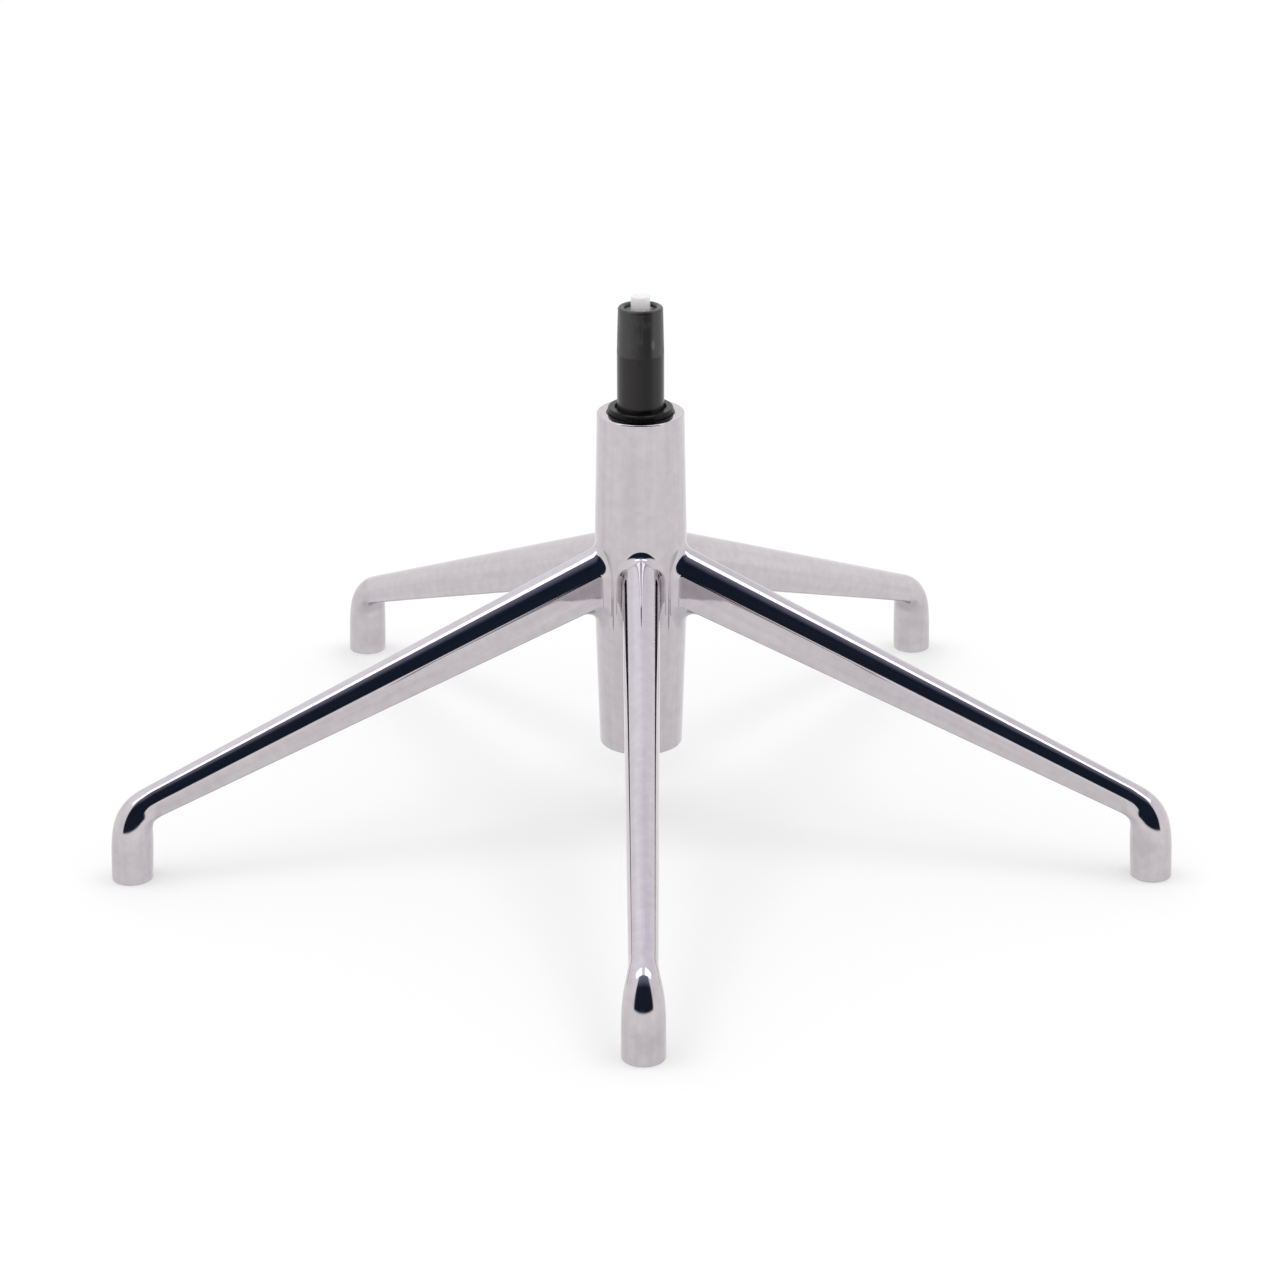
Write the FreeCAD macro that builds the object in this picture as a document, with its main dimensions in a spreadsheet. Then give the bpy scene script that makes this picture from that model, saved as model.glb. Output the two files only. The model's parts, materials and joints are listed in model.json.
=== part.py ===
# Five-star base of an office chair with its gas lift column.
# Lengths are in millimetres. The column axis is Z, the floor is Z = 0 and the front arm points along -Y.
import FreeCAD, Part
import math
import os
import Sketcher

V = FreeCAD.Vector
doc = FreeCAD.newDocument("five_star_base")
sheet = doc.addObject("Spreadsheet::Sheet", "Dims")
sheet.Label = "Dims"


# A size knows its number and the text that binds a feature to the spreadsheet.
class Size:
    def __init__(self, number, text):
        self.number = number
        self.text = text

    def _join(self, other, sign, number):
        text = other.text if isinstance(other, Size) else repr(float(other))
        return Size(number, "(" + self.text + " " + sign + " " + text + ")")

    def __add__(self, other):
        return self._join(other, "+", self.number + plain(other))

    def __sub__(self, other):
        return self._join(other, "-", self.number - plain(other))

    def __mul__(self, other):
        return self._join(other, "*", self.number * plain(other))

    def __truediv__(self, other):
        return self._join(other, "/", self.number / plain(other))


def plain(value):
    return value.number if isinstance(value, Size) else float(value)


def cosine(angle):
    return Size(math.cos(math.radians(angle.number)), "cos(" + angle.text + " * 1 deg)")


def sine(angle):
    return Size(math.sin(math.radians(angle.number)), "sin(" + angle.text + " * 1 deg)")


def tangent(angle):
    return Size(math.tan(math.radians(angle.number)), "tan(" + angle.text + " * 1 deg)")


one = Size(1.0, "1")
next_row = 1


def dim(alias, value, note):
    global next_row
    sheet.set("A" + str(next_row), note)
    sheet.set("B" + str(next_row), str(value))
    sheet.setAlias("B" + str(next_row), alias)
    next_row = next_row + 1
    return Size(float(value), "Dims." + alias)


def heading(words):
    global next_row
    sheet.set("A" + str(next_row), words)
    next_row = next_row + 1


heading("Running clearances")
slide_clearance = dim("slide_clearance", 0.05, "radial clearance of a sliding or turning fit")
seal_clearance = dim("seal_clearance", 0.02, "radial clearance of a seal lip on its rod")
ball_clearance = dim("ball_clearance", 0.02, "clearance between balls and races")
free_gap = dim("free_gap", 0.35, "gap between pieces that move past each other")
small_edge = dim("small_edge", 0.5, "chamfer on the small turned pieces")

heading("Arms")
arm_count = dim("arm_count", 5, "number of arms")
root_crown = dim("root_crown", 177.6, "height of an arm's crown where it starts inside the hub wall")
root_depth = dim("root_depth", 33.8, "depth of an arm there, from the crown to the flat underside")
root_half_width = dim("root_half_width", 11.3, "half width of the underside there")
edge_round = dim("edge_round", 1.2, "rounding of the two lower edges of an arm")
root_fillet = dim("root_fillet", 4, "fillet between an arm and the hub")
camber_angle = dim("camber_angle", 8, "angle at which the side meets the crown, in degrees")

heading("Hub of the casting")
hub_bottom = dim("hub_bottom", 45.2, "height of the hub's lower rim above the floor")
hub_height = dim("hub_height", 212.2, "length of the hub")
hub_band_radius = dim("hub_band_radius", 27.5, "radius where the upper draft meets the band of the arms")
hub_top_draft = dim("hub_top_draft", 1.4, "how much narrower the top rim is")
hub_bottom_draft = dim("hub_bottom_draft", 2.3, "how much narrower the lower rim is")
band_above = dim("band_above", 12.4, "how far the band reaches above the arms' crown")
band_below = dim("band_below", 33.8, "how far the band reaches below the arms' underside")
hub_rim_round = dim("hub_rim_round", 0.9, "rounding of the top rim")
hub_foot_round = dim("hub_foot_round", 1.2, "rounding of the lower rim")
bush_bore_radius = dim("bush_bore_radius", 20, "bore that holds the guide bush")
lower_bore_radius = dim("lower_bore_radius", 18, "bore below the guide bush")
web_recess_radius = dim("web_recess_radius", 18, "radius of the recess under the web")
web_recess_depth = dim("web_recess_depth", 5.8, "depth of that recess")
web_thick = dim("web_thick", 7, "thickness of the web that carries the column")
bore_lead_in = dim("bore_lead_in", 0.6, "chamfer at the mouth of the bush bore")
wall_bite = dim("wall_bite", 5.7, "how deep an arm starts inside the band of the hub")

heading("Feet")
foot_reach = dim("foot_reach", 318, "radius of the circle on which the castor sockets lie")
foot_radius = dim("foot_radius", 12.35, "radius of a foot at the floor")
foot_taper = dim("foot_taper", 0.35, "radius lost by a foot half way up")
foot_mid_height = dim("foot_mid_height", 14, "height of that section")
foot_neck = dim("foot_neck", 0.5, "radius lost from there to where the knee begins")
foot_top_set_in = dim("foot_top_set_in", 0.85, "how far the knee draws that section towards the hub")
foot_round = dim("foot_round", 1.0, "rounding of the lower edge of a foot")
socket_radius = dim("socket_radius", 5.5, "radius of the castor stem socket")
socket_depth = dim("socket_depth", 38, "depth of the castor stem socket")

heading("Knee, in sections that fan out round a pivot on the hub's side of the foot")
pivot_inset = dim("pivot_inset", 24.2, "distance from the socket's axis to the pivot")
knee_height = dim("knee_height", 28.5, "height of the pivot, where the foot ends")
turn_angle_a = dim("turn_angle_a", 20, "first section, square to the arm, in degrees from upright")
turn_angle_b = dim("turn_angle_b", 37, "second section")
turn_angle_c = dim("turn_angle_c", 55, "third section")
turn_angle_d = dim("turn_angle_d", 72, "fourth section")
tip_crown = dim("tip_crown", 31.0, "distance from the pivot to the crown at the first section")
tip_under = dim("tip_under", 13.5, "distance from the pivot to the underside at the first section")
tip_half_width = dim("tip_half_width", 7.6, "half width at the first section")
tip_side_round = dim("tip_side_round", 110, "radius of the cambered side at the first section")
crown_ratio_b = dim("crown_ratio_b", 0.13, "share of the way from the tip's crown to the foot's, section b")
crown_ratio_c = dim("crown_ratio_c", 0.47, "the same at the third section")
crown_ratio_d = dim("crown_ratio_d", 0.75, "the same at the fourth section")
under_ratio_b = dim("under_ratio_b", 0.06, "share of the way from the tip's underside to the foot's")
under_ratio_c = dim("under_ratio_c", 0.25, "the same at the third section")
under_ratio_d = dim("under_ratio_d", 0.70, "the same at the fourth section")
width_ratio_b = dim("width_ratio_b", 0.18, "share of the way from the tip's half width to the foot's")
width_ratio_c = dim("width_ratio_c", 0.60, "the same at the third section")
width_ratio_d = dim("width_ratio_d", 0.87, "the same at the fourth section")
round_ratio_b = dim("round_ratio_b", 0.18, "share of the foot's roundness at the second section")
round_ratio_c = dim("round_ratio_c", 0.52, "the same at the third section")
round_ratio_d = dim("round_ratio_d", 0.84, "the same at the fourth section")

heading("Thrust bearing")
race_radius = dim("race_radius", 12, "outer radius of both races")
race_thick = dim("race_thick", 2.5, "thickness of a race")
race_groove = dim("race_groove", 0.6, "depth of the ball groove in a race")
ball_radius = dim("ball_radius", 2.0, "radius of a ball")
ball_ring = dim("ball_ring", 8.5, "radius of the circle of balls")
ball_count = dim("ball_count", 10, "number of balls")
cage_thick = dim("cage_thick", 1.6, "thickness of the ball cage")
cage_wall = dim("cage_wall", 0.9, "width of the cage inside and outside its pockets")
cage_play = dim("cage_play", 0.06, "play of a ball in its pocket")

heading("Piston rod and what it carries")
rod_radius = dim("rod_radius", 5, "radius of the piston rod")
rod_length = dim("rod_length", 135.2, "length of the rod from the bearing to the piston")
rod_end_radius = dim("rod_end_radius", 4, "radius of the rod's lower end")
rod_tip = dim("rod_tip", 1.5, "length of the rod below the clip")
rod_end_edge = dim("rod_end_edge", 0.6, "chamfer on the rod's lower tip")
clip_groove = dim("clip_groove", 0.8, "depth of the clip's groove in the rod")
clip_thick = dim("clip_thick", 1.2, "thickness of the retaining clip")
clip_radius = dim("clip_radius", 7.5, "outer radius of the retaining clip")
clip_mouth = dim("clip_mouth", 4.8, "width of the clip's mouth")
washer_thick = dim("washer_thick", 1.5, "thickness of the rod washer")
washer_radius = dim("washer_radius", 11, "outer radius of the rod washer")
bumper_radius = dim("bumper_radius", 11, "outer radius of the rubber bumper")
bumper_height = dim("bumper_height", 12, "height of the rubber bumper")
bumper_waist = dim("bumper_waist", 1.2, "depth of the groove round the bumper")
bumper_edge = dim("bumper_edge", 1.0, "chamfer on the bumper's upper edge")
piston_height = dim("piston_height", 10, "height of the piston")
piston_spigot = dim("piston_spigot", 3.5, "radius of the rod inside the piston")
rivet_radius = dim("rivet_radius", 4.6, "radius of the riveted head above the piston")
rivet_height = dim("rivet_height", 2.0, "height of that head")
rivet_slope = dim("rivet_slope", 1.0, "how much that head narrows upwards")
ring_height = dim("ring_height", 3.0, "height of the piston ring")
ring_depth = dim("ring_depth", 2.2, "depth of the piston ring's groove")

heading("Column tube")
column_radius = dim("column_radius", 14, "radius of the straight part")
column_wall = dim("column_wall", 1.5, "wall of the column tube")
column_length = dim("column_length", 243.9, "length of the column tube")
stop_gap = dim("stop_gap", 0.46, "gap between the bumper and the column tube when it is down")
column_lip = dim("column_lip", 1.8, "thickness of the rolled lower lip")
column_lip_width = dim("column_lip_width", 3.0, "how far that lip reaches inwards")
column_edge = dim("column_edge", 1.0, "chamfer on the lower edge")
taper_length = dim("taper_length", 26.1, "length of the taper")
taper_rate = dim("taper_rate", 0.025, "radius lost for each millimetre of taper, 1 in 20 on the diameter")
rim_height = dim("rim_height", 2.6, "height of the rim above the taper")
rim_opening = dim("rim_opening", 9.4, "radius of the opening in the rim")
rim_thick = dim("rim_thick", 1.8, "thickness of the rolled rim")
rim_round = dim("rim_round", 1.5, "rounding of the rim's edges")

heading("Guide bush")
bush_depth = dim("bush_depth", 62, "length of the bush inside the hub")
bush_ring_rise = dim("bush_ring_rise", 3.4, "height of the ring that stands above the hub")
bush_ring_inset = dim("bush_ring_inset", 0.6, "how much narrower that ring is than the bore")
bush_recess_width = dim("bush_recess_width", 1.5, "width of the recess round the column")
bush_recess_depth = dim("bush_recess_depth", 2.0, "depth of that recess")
bush_land = dim("bush_land", 15, "length of the guiding land at each end of the bush")
bush_relief = dim("bush_relief", 0.5, "relief between the two lands")
bush_edge = dim("bush_edge", 0.5, "chamfer on the ring")

heading("Inside the column tube")
guide_height = dim("guide_height", 12, "height of the rod guide")
seal_height = dim("seal_height", 6, "height of the rod seal")
seal_lip = dim("seal_lip", 1.2, "thickness of the seal's lip at the rod")
seal_lip_height = dim("seal_lip_height", 2.5, "height of that lip")
seal_edge = dim("seal_edge", 2.5, "thickness of the seal's outer edge")
seal_slope = dim("seal_slope", 0.9, "how much the lip and the edge thicken towards the seal's body")
seal_washer_thick = dim("seal_washer_thick", 1.5, "thickness of the washer over the rod seal")
inner_gap = dim("inner_gap", 1.5, "gap between the inner tube and the column tube")
inner_wall = dim("inner_wall", 1, "wall of the inner tube")
support_height = dim("support_height", 4.2, "height of the ring below the rim")
support_opening = dim("support_opening", 6.4, "radius of the opening of that ring")
support_thick = dim("support_thick", 1.6, "thickness of that ring at its opening")
support_land = dim("support_land", 1.0, "width of that ring's flat top inside the rim")
valve_length = dim("valve_length", 20.2, "length of the valve body from the inner tube to the ring")
valve_slack = dim("valve_slack", 0.15, "gap between the valve body's upper edge and the taper's bore")
valve_well_depth = dim("valve_well_depth", 6.8, "depth of the well under the button")
valve_well_wall = dim("valve_well_wall", 2.1, "wall of that well")
valve_spigot = dim("valve_spigot", 5, "length of the spigot inside the inner tube")
valve_spigot_wall = dim("valve_spigot_wall", 2, "wall of that spigot")
valve_groove = dim("valve_groove", 2.0, "height and depth of the groove for the outer seal ring")
valve_groove_rise = dim("valve_groove_rise", 5, "height of that groove above the inner tube")
pin_radius = dim("pin_radius", 1.5, "radius of the valve pin")
pin_seal_wall = dim("pin_seal_wall", 1.9, "thickness of the pin seal")
pin_seal_height = dim("pin_seal_height", 3, "height of the pin seal")
pin_seal_rise = dim("pin_seal_rise", 4, "height of the pin seal above the inner tube")
pin_head_radius = dim("pin_head_radius", 2.6, "radius of the pin's sealing head")
pin_head_height = dim("pin_head_height", 2.4, "height of the pin's sealing head")
pin_head_slope = dim("pin_head_slope", 1.1, "how much that head narrows upwards")
pin_grip = dim("pin_grip", 3.8, "how far the pin reaches into the button")

heading("Release button")
button_play = dim("button_play", 0.5, "gap between the button and the ring round it")
button_rise = dim("button_rise", 6.8, "height of the button above the column's rim at rest")
button_clear = dim("button_clear", 4.8, "height of the button above the floor of its well at rest")
button_round = dim("button_round", 1.0, "rounding of the top edge")
button_draft = dim("button_draft", 0.3, "how much narrower the button is at its top")
button_wall = dim("button_wall", 1.5, "wall round the hollow under the button")
button_hollow_depth = dim("button_hollow_depth", 2.2, "depth of that hollow")
doc.recompute()

# Heights and radii that follow from the sizes above
root_floor = root_crown - root_depth
root_reach = hub_band_radius - wall_bite
hub_top = hub_bottom + hub_height
hub_top_radius = hub_band_radius - hub_top_draft
hub_bottom_radius = hub_band_radius - hub_bottom_draft
web_bottom = hub_bottom + web_recess_depth
web_top = web_bottom + web_thick
bush_bottom = hub_top - bush_depth
bush_ring_top = hub_top + bush_ring_rise
knee_reach = foot_reach - pivot_inset
foot_mid_radius = foot_radius - foot_taper
foot_top_radius = foot_mid_radius - foot_neck
foot_top_reach = foot_reach - foot_top_set_in
lower_race_top = web_top + race_thick
ball_height = lower_race_top - race_groove + ball_radius + ball_clearance
upper_race_bottom = ball_height - race_groove + ball_radius + ball_clearance
upper_race_top = upper_race_bottom + race_thick
washer_top = web_bottom - free_gap
washer_bottom = washer_top - washer_thick
clip_bottom = washer_bottom - clip_thick
rod_end = clip_bottom - rod_tip
rod_neck_radius = rod_end_radius - clip_groove
piston_bottom = upper_race_top + rod_length
piston_top = piston_bottom + piston_height
ring_bottom = piston_bottom + (piston_height - ring_height) * 0.5
bumper_top = upper_race_top + bumper_height
bumper_middle = upper_race_top + bumper_height * 0.5
column_bore = column_radius - column_wall
column_bottom = bumper_top + stop_gap
rim_top = column_bottom + column_length
taper_top = rim_top - rim_height
taper_bottom = taper_top - taper_length
taper_end_radius = column_radius - taper_length * taper_rate
taper_end_bore = taper_end_radius - column_wall
guide_bottom = column_bottom + column_lip
guide_top = guide_bottom + guide_height
seal_top = guide_top + seal_height
seal_washer_top = seal_top + seal_washer_thick
inner_radius = column_bore - inner_gap - inner_wall
piston_radius = inner_radius - slide_clearance
support_bottom = rim_top - rim_thick - support_height
inner_top = support_bottom - valve_length
valve_radius = taper_end_bore - valve_slack
valve_top = support_bottom - valve_well_depth
valve_groove_bottom = inner_top + valve_groove_rise
valve_groove_top = valve_groove_bottom + valve_groove
seal_ring_radius = column_bore - (valve_groove_top - taper_bottom) * taper_rate - seal_clearance
pin_bore = pin_radius + slide_clearance
pin_seal_radius = pin_radius + pin_seal_wall
pin_seal_bottom = inner_top + pin_seal_rise
pin_seal_top = pin_seal_bottom + pin_seal_height
pin_head_top = inner_top - free_gap
button_bottom = valve_top + button_clear
button_top = rim_top + button_rise
button_radius = support_opening - button_play
button_skirt = button_radius - button_draft
pin_top = button_bottom + pin_grip


def new_body(name):
    body = doc.addObject("PartDesign::Body", name)
    body.Label = name
    return body


def origin_plane(body, role):
    for feature in body.Origin.OriginFeatures:
        if feature.Role == role:
            return feature
    raise ValueError("no plane " + role)


def new_sketch(body, name, role):
    sketch = body.newObject("Sketcher::SketchObject", name)
    sketch.AttachmentSupport = [(origin_plane(body, role), "")]
    sketch.MapMode = "FlatFace"
    return sketch


def bind(sketch, name, size, *place):
    index = sketch.addConstraint(Sketcher.Constraint(*place, size.number))
    sketch.renameConstraint(index, name)
    sketch.setExpression("Constraints." + name, size.text)


# A closed outline of straight edges through corners given as (across, up), each bound to the sheet.
def outline(sketch, corners):
    count = len(corners)
    points = []
    for across, up in corners:
        points.append(V(plain(across), plain(up), 0))
    for index in range(count):
        line = Part.LineSegment(points[index], points[(index + 1) % count])
        sketch.addGeometry(line, False)
    for index in range(count):
        sketch.addConstraint(Sketcher.Constraint("Coincident", index, 2, (index + 1) % count, 1))
    for index in range(count):
        across, up = corners[index]
        if isinstance(across, Size):
            bind(sketch, "across_" + str(index), across, "DistanceX", -1, 1, index, 1)
        else:
            sketch.addConstraint(Sketcher.Constraint("PointOnObject", index, 1, -2))
        if isinstance(up, Size):
            bind(sketch, "up_" + str(index), up, "DistanceY", -1, 1, index, 1)
        else:
            sketch.addConstraint(Sketcher.Constraint("PointOnObject", index, 1, -1))


def spin(body, sketch, name, kind="PartDesign::Revolution"):
    feature = body.newObject(kind, name)
    feature.Profile = sketch
    feature.ReferenceAxis = (sketch, ["V_Axis"])
    feature.Angle = 360
    sketch.Visibility = False
    doc.recompute()
    return feature


# A turned piece from one outline.
def turned(name, corners):
    body = new_body(name)
    sketch = new_sketch(body, name + "_outline", "XZ_Plane")
    outline(sketch, corners)
    spin(body, sketch, name + "_turned")
    return body


def ring_edges(shape, radius, height):
    found = []
    for index, edge in enumerate(shape.Edges):
        curve = edge.Curve
        if not isinstance(curve, Part.Circle):
            continue
        centred = math.hypot(curve.Center.x, curve.Center.y) < 0.01
        if centred and abs(curve.Radius - radius) < 0.02 and abs(curve.Center.z - height) < 0.02:
            found.append("Edge" + str(index + 1))
    return found


def soften(body, kind, name, edges, size):
    feature = body.newObject(kind, name)
    feature.Base = (body.Group[body.Group.index(feature) - 1], edges)
    if kind == "PartDesign::Fillet":
        feature.Radius = size.number
        feature.setExpression("Radius", size.text)
    else:
        feature.Size = size.number
        feature.setExpression("Size", size.text)
    body.Tip = feature
    doc.recompute()
    return feature


def cut_through(body, sketch, name):
    feature = body.newObject("PartDesign::Pocket", name)
    feature.Profile = sketch
    feature.Type = "ThroughAll"
    feature.Midplane = True
    sketch.Visibility = False
    body.Tip = feature
    doc.recompute()
    return feature


def round_array(body, name, originals, count):
    feature = body.newObject("PartDesign::PolarPattern", name)
    feature.Originals = originals
    feature.Axis = (origin_plane(body, "Z_Axis"), [""])
    feature.Angle = 360
    feature.Occurrences = int(count.number)
    feature.setExpression("Occurrences", count.text)
    body.Tip = feature
    doc.recompute()
    return feature


# Base casting: the hub is turned, drafted both ways from the band that carries the arms.
# Its outline lies half way between two arms, so that the seam of the turned face stays clear of them.
casting = new_body("base_casting")
hub = new_sketch(casting, "hub_outline", "YZ_Plane")
hub_corners = [
    (hub_top_radius, hub_top),
    (hub_band_radius, root_crown + band_above),
    (hub_band_radius, root_floor - band_below),
    (hub_bottom_radius, hub_bottom),
    (web_recess_radius, hub_bottom),
    (web_recess_radius, web_bottom),
    (rod_end_radius + slide_clearance, web_bottom),
    (rod_end_radius + slide_clearance, web_top),
    (lower_bore_radius, web_top),
    (lower_bore_radius, bush_bottom),
    (bush_bore_radius, bush_bottom),
    (bush_bore_radius, hub_top),
]
hub_points = []
for across, up in hub_corners:
    hub_points.append(V(plain(across), plain(up), 0))
corner_count = len(hub_points)
for index in range(corner_count):
    start = hub_points[index]
    end = hub_points[(index + 1) % corner_count]
    if index == 1:
        middle = (start + end) / 2 + V((hub_top_draft / 2).number, 0, 0)
        hub.addGeometry(Part.Arc(start, middle, end), False)
    else:
        hub.addGeometry(Part.LineSegment(start, end), False)


# The arc of the band runs clockwise, so its ends are swapped.
def hub_end(index, which):
    if index == 1:
        return 2 if which == 1 else 1
    return which


for index in range(corner_count):
    after = (index + 1) % corner_count
    place = (index, hub_end(index, 2), after, hub_end(after, 1))
    if index in (0, 1):
        hub.addConstraint(Sketcher.Constraint("Tangent", *place))
    else:
        hub.addConstraint(Sketcher.Constraint("Coincident", *place))
for index in range(corner_count):
    across, up = hub_corners[index]
    if index != 2:
        bind(hub, "across_" + str(index), across, "DistanceX", -1, 1, index, hub_end(index, 1))
    bind(hub, "up_" + str(index), up, "DistanceY", -1, 1, index, hub_end(index, 1))
spin(casting, hub, "hub_turned")


# A section of the front arm stands at this reach and height, and leans outwards by the angle of its turn.
def lean_over(sketch, reach, height, turn):
    sketch.AttachmentOffset = FreeCAD.Placement(
        V(0, plain(height), plain(reach)),
        FreeCAD.Rotation(V(1, 0, 0), plain(turn)),
    )
    if isinstance(reach, Size):
        sketch.setExpression("AttachmentOffset.Base.z", reach.text)
    if isinstance(height, Size):
        sketch.setExpression("AttachmentOffset.Base.y", height.text)
    if isinstance(turn, Size):
        sketch.setExpression("AttachmentOffset.Rotation.Angle", turn.text)


# Arm sections: a flat underside, rounded lower edges, cambered sides and a round crown.
# The sides leave the lower edge upright and meet the crown at the camber angle.
def arm_section(name, reach, height, turn, floor, crown, half, corner, lean):
    sketch = new_sketch(casting, name, "XZ_Plane")
    lean_over(sketch, reach, height, turn)
    slant = math.radians(lean.number)
    shoulder_across, shoulder_up = shoulder(floor, crown, half, corner, lean)
    round_size = shoulder_across.number / math.cos(slant)
    edge = V(shoulder_across.number, shoulder_up.number, 0)
    low = V(half.number, floor.number + corner.number, 0)
    base = V(half.number - corner.number, floor.number, 0)
    bulge = (low - edge).Length / (2 * math.sin(slant / 2))
    centre = V(low.x - bulge, low.y, 0)
    bend = V(half.number - corner.number, floor.number + corner.number, 0)
    peak = V(0, crown.number - round_size, 0)
    z = V(0, 0, 1)
    flat = Part.LineSegment(V(-base.x, base.y, 0), base)
    sketch.addGeometry(flat, False)
    right_corner = Part.ArcOfCircle(Part.Circle(bend, z, corner.number), -math.pi / 2, 0)
    sketch.addGeometry(right_corner, False)
    right_side = Part.ArcOfCircle(Part.Circle(centre, z, bulge), 0, slant)
    sketch.addGeometry(right_side, False)
    top = Part.ArcOfCircle(Part.Circle(peak, z, round_size), slant, math.pi - slant)
    sketch.addGeometry(top, False)
    left_centre = V(-centre.x, centre.y, 0)
    left_side = Part.ArcOfCircle(Part.Circle(left_centre, z, bulge), math.pi - slant, math.pi)
    sketch.addGeometry(left_side, False)
    left_bend = V(-bend.x, bend.y, 0)
    left_corner = Part.ArcOfCircle(Part.Circle(left_bend, z, corner.number), math.pi, 1.5 * math.pi)
    sketch.addGeometry(left_corner, False)
    for first, second in ((0, 1), (1, 2), (2, 3), (3, 4), (4, 5)):
        sketch.addConstraint(Sketcher.Constraint("Tangent", first, 2, second, 1))
    sketch.addConstraint(Sketcher.Constraint("Tangent", 5, 2, 0, 1))
    sketch.addConstraint(Sketcher.Constraint("Symmetric", 0, 1, 0, 2, -2))
    sketch.addConstraint(Sketcher.Constraint("Symmetric", 3, 1, 3, 2, -2))
    sketch.addConstraint(Sketcher.Constraint("Equal", 1, 5))
    sketch.addConstraint(Sketcher.Constraint("Equal", 2, 4))
    bind(sketch, "corner_radius", corner, "Radius", 1)
    bind(sketch, "floor_height", floor, "DistanceY", -1, 1, 0, 2)
    bind(sketch, "half_width", half, "DistanceX", -1, 1, 1, 2)
    bind(sketch, "low_height", floor + corner, "DistanceY", -1, 1, 1, 2)
    bind(sketch, "shoulder_width", shoulder_across, "DistanceX", -1, 1, 3, 1)
    bind(sketch, "shoulder_height", shoulder_up, "DistanceY", -1, 1, 3, 1)
    sketch.Visibility = False
    return sketch


# The crown's radius with which the crown, the side and the lower corner meet without a kink.
def crown_round(floor, crown, half, corner, lean):
    rise = tangent(lean / 2)
    tall = crown - floor - corner
    return (half - tall * rise) / (cosine(lean) - (one - sine(lean)) * rise)


# Where that crown meets the side.
def shoulder(floor, crown, half, corner, lean):
    size = crown_round(floor, crown, half, corner, lean)
    return size * cosine(lean), crown - size * (one - sine(lean))


# Foot sections: a circle in the same six arcs, so that each face of the arm runs on into the foot.
# The marks are the angles at which one arc ends and the next starts, in degrees.
foot_marks = (-112, -68, -4, 20, 160, 184, 248)


def foot_section(name, reach, height, radius):
    sketch = new_sketch(casting, name, "XZ_Plane")
    lean_over(sketch, reach, height, 90)
    middle = V(0, 0, 0)
    z = V(0, 0, 1)
    for index in range(6):
        start = math.radians(foot_marks[index])
        end = math.radians(foot_marks[index + 1])
        arc = Part.ArcOfCircle(Part.Circle(middle, z, radius.number), start, end)
        sketch.addGeometry(arc, False)
    for index in range(6):
        sketch.addConstraint(Sketcher.Constraint("Coincident", index, 2, (index + 1) % 6, 1))
    for index in range(1, 5):
        sketch.addConstraint(Sketcher.Constraint("Coincident", 0, 3, index, 3))
    sketch.addConstraint(Sketcher.Constraint("Equal", 0, 5))
    sketch.addConstraint(Sketcher.Constraint("PointOnObject", 0, 3, -2))
    sketch.addConstraint(Sketcher.Constraint("PointOnObject", 0, 3, -1))
    bind(sketch, "foot_size", radius, "Radius", 0)
    for index in range(6):
        across = radius * math.cos(math.radians(foot_marks[index]))
        if across.number > 0:
            bind(sketch, "mark_" + str(index), across, "DistanceX", 0, 3, index, 1)
        else:
            bind(sketch, "mark_" + str(index), across * -1, "DistanceX", index, 1, 0, 3)
    sketch.Visibility = False
    return sketch


# Knee sections fan out round the pivot, and their arcs grow from the arm's section into the foot's circle.
tip_crown_round = crown_round(tip_under, tip_crown, tip_half_width, edge_round, camber_angle)
foot_crown = foot_top_reach + foot_top_radius - knee_reach
foot_under = foot_top_reach - foot_top_radius - knee_reach


def share(start, end, ratio):
    return start + (end - start) * ratio


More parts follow.
